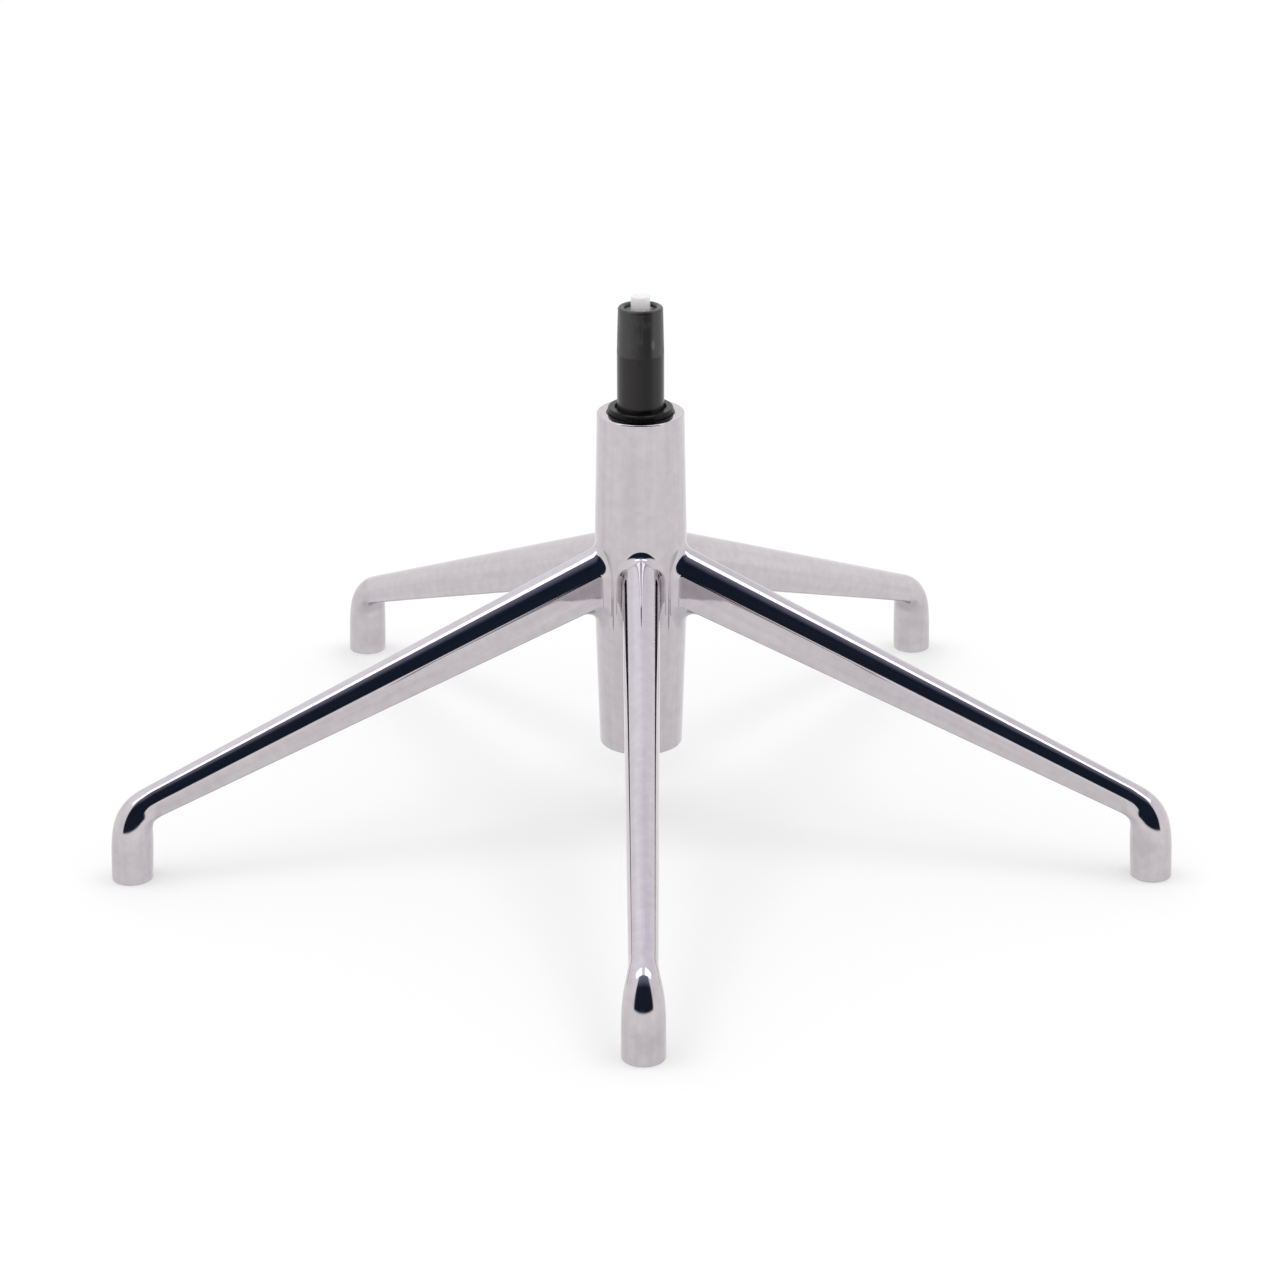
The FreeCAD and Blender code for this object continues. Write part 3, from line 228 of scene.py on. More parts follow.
def add_world():
    world = bpy.data.worlds.new("studio")
    bpy.context.scene.world = world
    world.use_nodes = True
    n = Nodes(world.node_tree)
    rays = n.add("ShaderNodeLightPath")
    mirrored = n.add("ShaderNodeBackground")
    n.join(mirrored_surroundings(n), mirrored.inputs["Color"])
    plain = n.add("ShaderNodeBackground")
    plain.inputs["Color"].default_value = (1.0, 1.0, 1.0, 1.0)
    plain.inputs["Strength"].default_value = DAYLIGHT
    white = n.add("ShaderNodeBackground")
    white.inputs["Color"].default_value = (1.0, 1.0, 1.0, 1.0)
    lit = n.add("ShaderNodeMixShader")
    n.join(rays.outputs["Is Glossy Ray"], lit.inputs[0])
    n.join(plain.outputs[0], lit.inputs[1])
    n.join(mirrored.outputs[0], lit.inputs[2])
    shown = n.add("ShaderNodeMixShader")
    seen = n.math("MAXIMUM", rays.outputs["Is Camera Ray"], rays.outputs["Is Transmission Ray"])
    n.join(seen, shown.inputs[0])
    n.join(lit.outputs[0], shown.inputs[1])
    n.join(white.outputs[0], shown.inputs[2])
    output = n.add("ShaderNodeOutputWorld")
    n.join(shown.outputs[0], output.inputs["Surface"])


def add_floor():
    mesh = bpy.data.meshes.new("floor")
    h = FLOOR_HALF
    mesh.from_pydata([(-h, -h, 0), (h, -h, 0), (h, h, 0), (-h, h, 0)], [], [(0, 1, 2, 3)])
    floor = bpy.data.objects.new("floor", mesh)
    bpy.context.scene.collection.objects.link(floor)
    material = bpy.data.materials.new("floor_white")
    material.use_nodes = True
    n = Nodes(material.node_tree)
    rays = n.add("ShaderNodeLightPath")
    shade = n.add("ShaderNodeBsdfDiffuse")
    shade.inputs["Color"].default_value = FLOOR_COLOUR + (1.0,)
    glow = n.add("ShaderNodeEmission")
    glow.inputs["Strength"].default_value = FLOOR_GLOW
    seen = n.math("MAXIMUM", rays.outputs["Is Camera Ray"], rays.outputs["Is Transmission Ray"])
    n.join(n.mix(seen, (0.0, 0.0, 0.0), (1.0, 1.0, 1.0)), glow.inputs["Color"])
    pale = n.add("ShaderNodeAddShader")
    n.join(shade.outputs[0], pale.inputs[0])
    n.join(glow.outputs[0], pale.inputs[1])
    output = n.add("ShaderNodeOutputMaterial")
    n.join(pale.outputs[0], output.inputs["Surface"])
    mesh.materials.append(material)
    # Metal mirrors the floor of the surroundings above, which has no edge where this one ends.
    floor.visible_glossy = False


def add_lamps():
    for side, name in ((-1, "lamp_left"), (1, "lamp_right")):
        data = bpy.data.lights.new(name, "SUN")
        data.angle = LAMP_SPREAD
        data.energy = LAMP_STRENGTH
        lamp = bpy.data.objects.new(name, data)
        place = Vector((side * LAMP_PLACE[0], LAMP_PLACE[1], LAMP_PLACE[2]))
        lamp.location = place
        lamp.rotation_euler = place.to_track_quat("Z", "Y").to_euler()
        lamp.visible_glossy = False
        bpy.context.scene.collection.objects.link(lamp)


# The casting: hub, arms and feet as one fine mesh with true normals
ARM_COUNT = 5
FIRST_ARM = math.radians(-90.0)
ROOT_REACH = 21.8
ROOT_FLOOR = 142.8
ROOT_CROWN = 177.6
ROOT_HALF = 11.6
EDGE_ROUND = 1.2
CAMBER = math.radians(13.0)
CROWN_ROUND = 7.0
SHOULDER = math.radians(54.0)
FLAT_STEPS = 0.2
# The fillet round an arm's root grows from its crown to its underside, where it is almost a plain circle.
CROWN_FILLET = 7.5
SIDE_FILLET = 8.5
UNDER_FILLET = 13.0
CROWN_PULL = 1.5
UNDER_PULL = 1.1
KNEE_REACH = 293.8
KNEE_HEIGHT = 28.5
TIP_FLOOR = 13.5
TIP_CROWN = 31.0
TIP_HALF = 8.15
TIP_SIDE = 60.0
TIP_TURN = math.radians(20.0)
FOOT_REACH = 318.0
FOOT_TOP_REACH = 316.5
FOOT_TOP_RADIUS = 12.1
FOOT_TOP_HALF = 11.85
FOOT_MID_REACH = 317.4
FOOT_MID_RADIUS = 12.4
FOOT_MID_HALF = 12.2
FOOT_MID_HEIGHT = 14.0
FOOT_RADIUS = 12.35
FOOT_ROUND = 1.0
SOCKET_RADIUS = 5.5
SOCKET_DEPTH = 38.0
# Turn, crown share, underside share, width share and roundness share of the three sections inside the knee.
KNEE_SECTIONS = (
    (math.radians(37.0), 0.13, 0.14, 0.12, 0.12),
    (math.radians(55.0), 0.47, 0.45, 0.50, 0.60),
    (math.radians(72.0), 0.75, 0.80, 0.82, 0.85),
)
KNEE_TOP_SHARE = 0.995
# Marks round a foot where the six faces of an arm arrive: underside, corner, side, crown, side, corner.
FOOT_MARKS = tuple(math.radians(mark) for mark in (-112, -68, -4, 20, 160, 184, 248))
FACE_STEPS = (6, 5, 10, 24, 10, 5)
ARM_ROWS = 30
KNEE_ROWS = 9
FOOT_ROWS = 5
FILLET_ROWS = 14
ROUND_ROWS = 4
FILLET_LIMIT = 0.3
HALVINGS = 40

HUB_TOP = 257.4
HUB_BOTTOM = 45.2
HUB_TOP_RADIUS = 26.1
HUB_BAND_RADIUS = 27.5
HUB_BOTTOM_RADIUS = 25.2
BAND_TOP = 190.0
BAND_BOTTOM = 110.0
RIM_ROUND = 0.9
LOWER_ROUND = 1.2
BUSH_BORE = 20.0
BORE_CHAMFER = 0.6
LOWER_BORE = 18.0
BUSH_FLOOR = 195.4
WEB_TOP = 58.0
WEB_BOTTOM = 51.0
ROD_BORE = 4.05
HUB_STEPS = 144
HUB_ROWS = 35
HOLE_MARGIN = 1.0
MERGE_WITHIN = 1e-5


def share(start, end, ratio):
    return start + (end - start) * ratio


# A section's outline has six faces. Each is a function from a share of the face to a place and a direction.
def arc(across, up, radius, start, end):
    def at(ratio):
        turn = share(start, end, ratio)
        place = (across + radius * math.cos(turn), up + radius * math.sin(turn))
        return place, (-math.sin(turn), math.cos(turn))
    return at


def flat_under(half, up):
    return lambda ratio: ((share(-half, half, ratio), up), (1.0, 0.0))


def mirrored(face):
    def at(ratio):
        (across, up), (way_across, way_up) = face(1 - ratio)
        return (-across, up), (way_across, -way_up)
    return at


def trace(faces):
    stops = [face(step / steps) for face, steps in zip(faces, FACE_STEPS) for step in range(steps)]
    return np.array([place for place, way in stops]), np.array([way for place, way in stops])


def both_sides(under, corner, side, crown):
    return trace([under, corner, side, crown, mirrored(side), mirrored(corner)])


# An arm's side stands upright, then bends over to its shoulder, where the tighter crown takes over.
def arm_section(floor, crown, half):
    low = floor + EDGE_ROUND
    flat = half - EDGE_ROUND
    bend = (half - CROWN_ROUND * math.cos(SHOULDER)) / (1 - math.cos(SHOULDER))
    bed = crown - CROWN_ROUND * (1 - math.sin(SHOULDER)) - bend * math.sin(SHOULDER)

    def bent(turn):
        return half - bend + bend * math.cos(turn), bed + bend * math.sin(turn)

    def side(ratio):
        if ratio < FLAT_STEPS:
            return (half, share(low, bed, ratio / FLAT_STEPS)), (0.0, 1.0)
        turn = share(0.0, CAMBER, (ratio - FLAT_STEPS) / (1 - FLAT_STEPS))
        return bent(turn), (-math.sin(turn), math.cos(turn))

    def top(ratio):
        turn = share(CAMBER, math.pi - CAMBER, ratio)
        way = (-math.sin(turn), math.cos(turn))
        if SHOULDER < turn < math.pi - SHOULDER:
            return (CROWN_ROUND * math.cos(turn), crown - CROWN_ROUND * (1 - math.sin(turn))), way
        across, up = bent(min(turn, math.pi - turn))
        return (math.copysign(across, math.cos(turn)), up), way

    return both_sides(
        flat_under(flat, floor),
        arc(flat, low, EDGE_ROUND, -math.pi / 2, 0.0),
        side,
        top,
    )


def knee_section(crown_share, under_share, width_share, blend):
    outer = share(TIP_CROWN, FOOT_TOP_REACH + FOOT_TOP_RADIUS - KNEE_REACH, crown_share)
    inner = share(TIP_FLOOR, FOOT_TOP_REACH - FOOT_TOP_RADIUS - KNEE_REACH, under_share)
    half = share(TIP_HALF, FOOT_TOP_HALF, width_share)
    corner = share(EDGE_ROUND, FOOT_TOP_RADIUS, blend)
    under = FOOT_TOP_RADIUS / blend
    side = 1 / ((1 - blend) / TIP_SIDE + blend / FOOT_TOP_RADIUS)
    top = half * KNEE_TOP_SHARE
    lift = math.acos((side - half) / (side - top))
    centre = (-math.cos(lift) * (side - top), outer - top - math.sin(lift) * (side - top))
    bed = inner + under
    side_reach, under_reach = side - corner, under - corner
    apart = math.hypot(centre[0], bed - centre[1])
    spread = math.acos((apart ** 2 + side_reach ** 2 - under_reach ** 2) / (2 * apart * side_reach))
    fall = math.atan2(bed - centre[1], -centre[0]) - spread
    bend = (centre[0] + math.cos(fall) * side_reach, centre[1] + math.sin(fall) * side_reach)
    swing = math.atan2(bend[1] - bed, bend[0])
    return both_sides(
        arc(0.0, bed, under, -math.pi - swing, swing),
        arc(bend[0], bend[1], corner, swing, fall),
        arc(centre[0], centre[1], side, fall, lift),
        arc(0.0, outer - top, top, lift, math.pi - lift),
    )


def foot_section(radius, half):
    marks = zip(FOOT_MARKS, FOOT_MARKS[1:])
    points, ways = trace([arc(0.0, 0.0, radius, start, end) for start, end in marks])
    squeeze = np.array([half / radius, 1.0])
    return points * squeeze, ways * squeeze


# Stands a section at its place in an arm, as (reach, across, height).
def stand(section, reach, height, turn):
    points, ways = section
    lean = np.array([math.sin(turn), 0.0, math.cos(turn)])
    across = np.array([0.0, 1.0, 0.0])
    placed = np.array([reach, 0.0, height]) + points[:, :1] * across + points[:, 1:] * lean
    return placed, ways[:, :1] * across + ways[:, 1:] * lean


# Slopes at the knots of a smooth curve through values, with its two end slopes given.
def knot_slopes(knots, values, first, last):
    count = len(knots)
    gaps = np.diff(knots)
    rises = np.diff(values, axis=0) / gaps[:, None, None]
    matrix = np.zeros((count, count))
    matrix[0, 0] = matrix[-1, -1] = 1.0
    right = np.zeros_like(values)
    right[0], right[-1] = first, last
    for k in range(1, count - 1):
        before, after = gaps[k - 1], gaps[k]
        matrix[k, k - 1:k + 2] = after, 2 * (before + after), before
        right[k] = 3 * (after * rises[k - 1] + before * rises[k])
    return np.linalg.solve(matrix, right.reshape(count, -1)).reshape(values.shape)


def on_curve(knots, values, slopes, k, t):
    gap = knots[k + 1] - knots[k]
    place = ((1 + 2 * t) * (1 - t) ** 2 * values[k] + t * (1 - t) ** 2 * gap * slopes[k]
             + t * t * (3 - 2 * t) * values[k + 1] + t * t * (t - 1) * gap * slopes[k + 1])
    way = ((6 * t * t - 6 * t) * (values[k] - values[k + 1]) / gap
           + (3 * t * t - 4 * t + 1) * slopes[k] + (3 * t * t - 2 * t) * slopes[k + 1])
    return place, way


def unit(vectors):
    return vectors / np.linalg.norm(vectors, axis=-1, keepdims=True)


HUB_SLOPE = (HUB_BAND_RADIUS - HUB_TOP_RADIUS) / (HUB_TOP - BAND_TOP)
BAND = BAND_TOP - BAND_BOTTOM
TAIL = BAND_BOTTOM - HUB_BOTTOM
HUB_BOW = (HUB_BAND_RADIUS - HUB_BOTTOM_RADIUS + (BAND + TAIL) * HUB_SLOPE) / (BAND ** 2 + 2 * BAND * TAIL)


# The hub's radius at a height, and how fast it grows upwards: two drafted walls with a bowed band between.
def hub_radius(height):
    down = BAND_TOP - height
    bowed = np.clip(down, 0.0, BAND)
    below = np.maximum(down - BAND, 0.0)
    above = np.minimum(down, 0.0)
    growth = HUB_SLOPE - 2 * HUB_BOW * bowed
    radius = HUB_BAND_RADIUS + HUB_SLOPE * (bowed + above) - HUB_BOW * bowed ** 2 + growth * below
    return radius, -growth


def hub_normal(reach, across, height):
    outward = unit(np.stack([reach, across, np.zeros_like(reach)], axis=-1))
    outward[:, 2] = -hub_radius(height)[1]
    return unit(outward)


# Rows of one arm, from the hub's wall to the floor: places and outward normals, each (rows, columns, 3).
def arm_rows():
    root, root_way = stand(arm_section(ROOT_FLOOR, ROOT_CROWN, ROOT_HALF), ROOT_REACH, 0.0, 0.0)
    tip, tip_way = stand(arm_section(TIP_FLOOR, TIP_CROWN, TIP_HALF), KNEE_REACH, KNEE_HEIGHT, TIP_TURN)
    ruling = tip - root

    def on_arm(t):
        place = root + ruling * t[:, None]
        normal = unit(np.cross(share(root_way, tip_way, t[:, None]), ruling))
        return place, normal

    _, normal = on_arm(np.zeros(len(root)))
    upward = normal[:, 2:]
    swell = np.where(upward > 0, CROWN_FILLET - SIDE_FILLET, SIDE_FILLET - UNDER_FILLET)
    fillet = SIDE_FILLET + swell * upward
    low, high = np.zeros(len(root)), np.full(len(root), FILLET_LIMIT)
    for step in range(HALVINGS):
        middle = (low + high) / 2
        place, normal = on_arm(middle)
        ball = place + normal * fillet
        radius, growth = hub_radius(ball[:, 2])
        outside = np.hypot(ball[:, 0], ball[:, 1]) > radius + fillet[:, 0] * np.sqrt(1 + growth ** 2)
        low, high = np.where(outside, low, middle), np.where(outside, middle, high)
    start = (low + high) / 2
    place, normal = on_arm(start)
    ball = place + normal * fillet
    wall_normal = hub_normal(ball[:, 0], ball[:, 1], ball[:, 2])
    meeting = np.sum(wall_normal * normal, axis=1, keepdims=True)
    corner = ball - (wall_normal + normal) * fillet / (1 + meeting)
    wall_place = ball - wall_normal * fillet
    beside = unit(normal - meeting * wall_normal)
    pull = share(UNDER_PULL, CROWN_PULL, (1 + upward) / 2) * np.sqrt((1 + meeting) / 2)

    places, normals = [], []
    for row in range(FILLET_ROWS):
        t = row / FILLET_ROWS
        whole = (1 - t) ** 2 + 2 * pull * t * (1 - t) + t * t
        spot = ((1 - t) ** 2 * wall_place + 2 * pull * t * (1 - t) * corner + t * t * place) / whole
        growth = -2 * (1 - t) + 2 * pull * (1 - 2 * t) + 2 * t
        along = -2 * (1 - t) * wall_place + 2 * pull * (1 - 2 * t) * corner + 2 * t * place - growth * spot
        out = np.sum(along * wall_normal, axis=1, keepdims=True)
        aside = np.sum(along * beside, axis=1, keepdims=True)
        places.append(spot)
        normals.append(unit(beside * out - wall_normal * aside))
    for row in range(ARM_ROWS):
        place, normal = on_arm(share(start, 1.0, row / ARM_ROWS))
        places.append(place)
        normals.append(normal)

    stations = [(tip, tip_way)]
    for turn, crown_share, under_share, width_share, blend in KNEE_SECTIONS:
        section = knee_section(crown_share, under_share, width_share, blend)
        stations.append(stand(section, KNEE_REACH, KNEE_HEIGHT, turn))
    for reach, height, radius, half in ((FOOT_TOP_REACH, KNEE_HEIGHT, FOOT_TOP_RADIUS, FOOT_TOP_HALF),
                                        (FOOT_MID_REACH, FOOT_MID_HEIGHT, FOOT_MID_RADIUS, FOOT_MID_HALF),
                                        (FOOT_REACH, 0.0, FOOT_RADIUS, FOOT_RADIUS)):
        stations.append(stand(foot_section(radius, half), reach, height, math.pi / 2))
    values = np.array([place for place, way in stations])
    ways = np.array([way for place, way in stations])
    steps = np.linalg.norm(np.diff(values, axis=0), axis=2)
    knots = np.concatenate([[0.0], np.cumsum(steps.mean(axis=1))])
    gaps = np.diff(knots)
    first = unit(ruling) * (steps[0] / gaps[0])[:, None]
    last = np.array([0.0, 0.0, -1.0]) * (steps[-1] / gaps[-1])[:, None]
    slopes = knot_slopes(knots, values, first, last)
    way_slopes = knot_slopes(knots, ways, 0.0, 0.0)
    for k in range(len(knots) - 1):
        rows = KNEE_ROWS if k <= len(KNEE_SECTIONS) else FOOT_ROWS
        whole = 1.0 if k < len(knots) - 2 else 1.0 - FOOT_ROUND / FOOT_MID_HEIGHT
        for row in range(rows):
            place, along = on_curve(knots, values, slopes, k, whole * row / rows)
            way, _ = on_curve(knots, ways, way_slopes, k, whole * row / rows)
            places.append(place)
            normals.append(unit(np.cross(way, along)))
    place, along = on_curve(knots, values, slopes, k, whole)
    side = unit(np.cross(ways[-1], along))
    inward = np.array([FOOT_REACH, 0.0, 0.0]) - place
    inward[:, 2] = 0.0
    inward = unit(inward)
    for row in range(ROUND_ROWS + 1):
        turn = math.pi / 2 * row / ROUND_ROWS
        lowered = place + inward * FOOT_ROUND * (1 - math.cos(turn))
        lowered[:, 2] = place[:, 2] * (1 - math.sin(turn))
        places.append(lowered)
        normals.append(unit(side * math.cos(turn) + np.array([0.0, 0.0, -1.0]) * math.sin(turn)))
    return np.array(places), np.array(normals)


class Skin:
    def __init__(self):
        self.points = []
        self.faces = []
        self.corners = []

    def add_points(self, points):
        first = len(self.points)
        self.points.extend(tuple(float(x) * MM for x in point) for point in points)
        return list(range(first, first + len(points)))

    def add_face(self, face, normals):
        self.faces.append(face)
        self.corners.extend(tuple(float(x) for x in normal) for normal in normals)

    # A band of quads between two closed rings, with a normal for each point of each ring.
    def add_band(self, ring, next_ring, normals, next_normals):
        count = len(ring)
        for j in range(count):
            after = (j + 1) % count
            self.add_face((ring[j], ring[after], next_ring[after], next_ring[j]),
                          (normals[j], normals[after], next_normals[after], next_normals[j]))

    def build(self, name):
        mesh = bpy.data.meshes.new(name)
        mesh.from_pydata(self.points, [], self.faces)
        mesh.polygons.foreach_set("use_smooth", [True] * len(self.faces))
        mesh.normals_split_custom_set(self.corners)
        piece = bpy.data.objects.new(name, mesh)
        bpy.context.scene.collection.objects.link(piece)
        return piece


def turned_about(points, angle):
    c, s = math.cos(angle), math.sin(angle)
    return np.stack([points[..., 0] * c - points[..., 1] * s, points[..., 0] * s + points[..., 1] * c,
                     points[..., 2]], axis=-1)


# One arm of the skin. Returns the ring of points where its fillet ends on the hub's wall.
def add_arm(skin, places, normals, angle):
    places, normals = turned_about(places, angle), turned_about(normals, angle)
    rings = [skin.add_points(row) for row in places]
    for row in range(len(rings) - 1):
        skin.add_band(rings[row], rings[row + 1], normals[row], normals[row + 1])
    marks, _ = foot_section(1.0, 1.0)
    spokes = np.column_stack([marks[:, 1], marks[:, 0], np.zeros(len(marks))])
    mouth = spokes * SOCKET_RADIUS + np.array([FOOT_REACH, 0.0, 0.0])
    mouth_ring = skin.add_points(turned_about(mouth, angle))
    end_ring = skin.add_points(turned_about(mouth + np.array([0.0, 0.0, SOCKET_DEPTH]), angle))
    down = np.tile([0.0, 0.0, -1.0], (len(marks), 1))
    inward = turned_about(-spokes, angle)
    skin.add_band(rings[-1], mouth_ring, down, down)
    skin.add_band(mouth_ring, end_ring, inward, inward)
    skin.add_face(tuple(end_ring), down)
    return rings[0]


# The turned inside of the hub, from the top of its outer wall over the rim and down through the web
# to the lower rim. Each stretch is (radius, height) at its two ends, with the normal (out, up) at each.
def hub_stretches():
    stretches = []

    def straight(corners):
        for (r0, z0), (r1, z1) in zip(corners, corners[1:]):
            long = math.hypot(r1 - r0, z1 - z0)
            normal = ((z1 - z0) / long, -(r1 - r0) / long)
            stretches.append(((r0, z0), (r1, z1), normal, normal))

    def rounded(centre, size, start, end):
        ends = [share(start, end, step / ROUND_ROWS) for step in range(ROUND_ROWS + 1)]
        ways = [(math.cos(turn), math.sin(turn)) for turn in ends]
        spots = [(centre[0] + size * x, centre[1] + size * y) for x, y in ways]
        for step in range(ROUND_ROWS):
            stretches.append((spots[step], spots[step + 1], ways[step], ways[step + 1]))

    top = HUB_TOP - RIM_ROUND
    top_centre = float(hub_radius(top)[0]) - RIM_ROUND
    low = HUB_BOTTOM + LOWER_ROUND
    low_centre = float(hub_radius(low)[0]) - LOWER_ROUND
    rounded((top_centre, top), RIM_ROUND, 0.0, math.pi / 2)
    straight([
        (top_centre, HUB_TOP),
        (BUSH_BORE + BORE_CHAMFER, HUB_TOP),
        (BUSH_BORE, HUB_TOP - BORE_CHAMFER),
        (BUSH_BORE, BUSH_FLOOR),
        (LOWER_BORE, BUSH_FLOOR),
        (LOWER_BORE, WEB_TOP),
        (ROD_BORE, WEB_TOP),
        (ROD_BORE, WEB_BOTTOM),
        (LOWER_BORE, WEB_BOTTOM),
        (LOWER_BORE, HUB_BOTTOM),
        (low_centre, HUB_BOTTOM),
    ])
    rounded((low_centre, low), LOWER_ROUND, -math.pi / 2, 0.0)
    return stretches


def add_hub_inside(skin):
    turns = [math.pi / 2 + 2 * math.pi * k / HUB_STEPS for k in range(HUB_STEPS)]
    outs = np.array([(math.cos(turn), math.sin(turn), 0.0) for turn in turns])
    up = np.array([0.0, 0.0, 1.0])
    stretches = hub_stretches()
    ring = top_ring = skin.add_points(outs * stretches[0][0][0] + up * stretches[0][0][1])
    for start, end, normal, next_normal in stretches:
        next_ring = skin.add_points(outs * end[0] + up * end[1])
        skin.add_band(ring, next_ring, outs * normal[0] + up * normal[1],
                      outs * next_normal[0] + up * next_normal[1])
        ring = next_ring
    return top_ring, ring


# The hub's outer wall, unrolled and cut into triangles round the five fillets.
def add_hub_wall(skin, top_ring, low_ring, holes):
    top, low = HUB_TOP - RIM_ROUND, HUB_BOTTOM + LOWER_ROUND
    girth = 2 * math.pi * HUB_BAND_RADIUS
    flat, index, edges = [], [], []

    def place(across, height, point):
        flat.append(Vector((across, height)))
        index.append(point)
        return len(flat) - 1

    rims = []
    for ring, height in ((low_ring, low), (top_ring, top)):
        rim = [place(girth * k / HUB_STEPS, height, ring[k % HUB_STEPS]) for k in range(HUB_STEPS + 1)]
        rims.append(rim)
    seams = [[rim[0] for rim in rims], [rim[-1] for rim in rims]]

    loops = []
    for hole in holes:
        loop = []
        for point in hole:
            x, y, z = skin.points[point]
            turn = (math.atan2(y, x) - math.pi / 2) % (2 * math.pi)
            loop.append(place(turn * HUB_BAND_RADIUS, z / MM, point))
        loops.append(loop)
    outlines = [np.array([flat[k] for k in loop]) for loop in loops]

    def clear_of_holes(across, height):
        for line in outlines:
            nearest = np.min(np.hypot(line[:, 0] - across, line[:, 1] - height))
            if nearest < HOLE_MARGIN or inside(line, across, height):
                return False
        return True

    rows = np.linspace(low, top, HUB_ROWS + 2)[1:-1]
    left_seam, right_seam = [], []
    for height in rows:
        radius = float(hub_radius(height)[0])
        for k in range(HUB_STEPS):
            across = girth * k / HUB_STEPS
            if not clear_of_holes(across, height):
                continue
            turn = math.pi / 2 + across / HUB_BAND_RADIUS
            point = skin.add_points([(radius * math.cos(turn), radius * math.sin(turn), height)])[0]
            spot = place(across, height, point)
            if k == 0:
                left_seam.append(spot)
                right_seam.append(place(girth, height, point))
    for seam, between in zip(seams, (left_seam, right_seam)):
        line = [seam[0]] + between + [seam[1]]
        edges += list(zip(line, line[1:]))
    for rim in rims:
        edges += list(zip(rim, rim[1:]))
    for loop in loops:
        edges += list(zip(loop, loop[1:] + loop[:1]))

    spots, _, triangles, sources, _, _ = delaunay_2d_cdt(flat, edges, [], 0, MERGE_WITHIN)
    for triangle in triangles:
        centre = sum((spots[k] for k in triangle), Vector((0.0, 0.0))) / 3
        if any(inside(line, centre.x, centre.y) for line in outlines):
            continue
        corners = [sources[k][0] for k in triangle]
        (ax, ay), (bx, by), (cx, cy) = (flat[k] for k in corners)
        if (bx - ax) * (cy - ay) - (cx - ax) * (by - ay) < 0:
            corners.reverse()
        normals = []
        for corner in corners:
            x, y, z = skin.points[index[corner]]
            growth = float(hub_radius(z / MM)[1])
            out = math.hypot(x, y)
            normals.append(Vector((x / out, y / out, -growth)).normalized())
        skin.add_face(tuple(index[k] for k in corners), normals)


def inside(line, across, height):
    x0, y0 = line[:, 0], line[:, 1]
    x1, y1 = np.roll(x0, -1), np.roll(y0, -1)
    crosses = (y0 > height) != (y1 > height)
    with np.errstate(divide="ignore", invalid="ignore"):
        at = x0 + (height - y0) * (x1 - x0) / (y1 - y0)
    return bool(np.count_nonzero(crosses & (across < at)) % 2)


def add_casting():
    skin = Skin()
    places, normals = arm_rows()
    holes = []
    for arm in range(ARM_COUNT):
        holes.append(add_arm(skin, places, normals, FIRST_ARM + 2 * math.pi * arm / ARM_COUNT))
    top_ring, low_ring = add_hub_inside(skin)
    add_hub_wall(skin, top_ring, low_ring, holes)
    piece = skin.build("casting_skin")
    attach(piece, "base")
    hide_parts("base_casting")
    return piece


# Finishes
def principled(name):
    material = bpy.data.materials.new(name)
    material.use_nodes = True
    n = Nodes(material.node_tree)
    shader = n.add("ShaderNodeBsdfPrincipled")
    output = n.add("ShaderNodeOutputMaterial")
    n.join(shader.outputs[0], output.inputs["Surface"])
    return material, n, shader


# Polished aluminium: soft mottle, polishing streaks along the arms and up the hub and feet, stained feet
ALUMINIUM_DEEP = (0.493, 0.466, 0.485)
ALUMINIUM_PALE = (0.570, 0.542, 0.565)
ALUMINIUM_STAIN = (0.40, 0.365, 0.365)
STREAK_LONG = 0.09
STREAK_WIDE = 0.0045
MOTTLE = 0.006
STAIN = 0.022
HUB_REACH = (0.028, 0.034)
FOOT_FROM = (0.292, 0.306)
ARM_FALL = 0.40
NICK = (306.0, -110.0, 26.4)
NICK_SIZE = 0.9


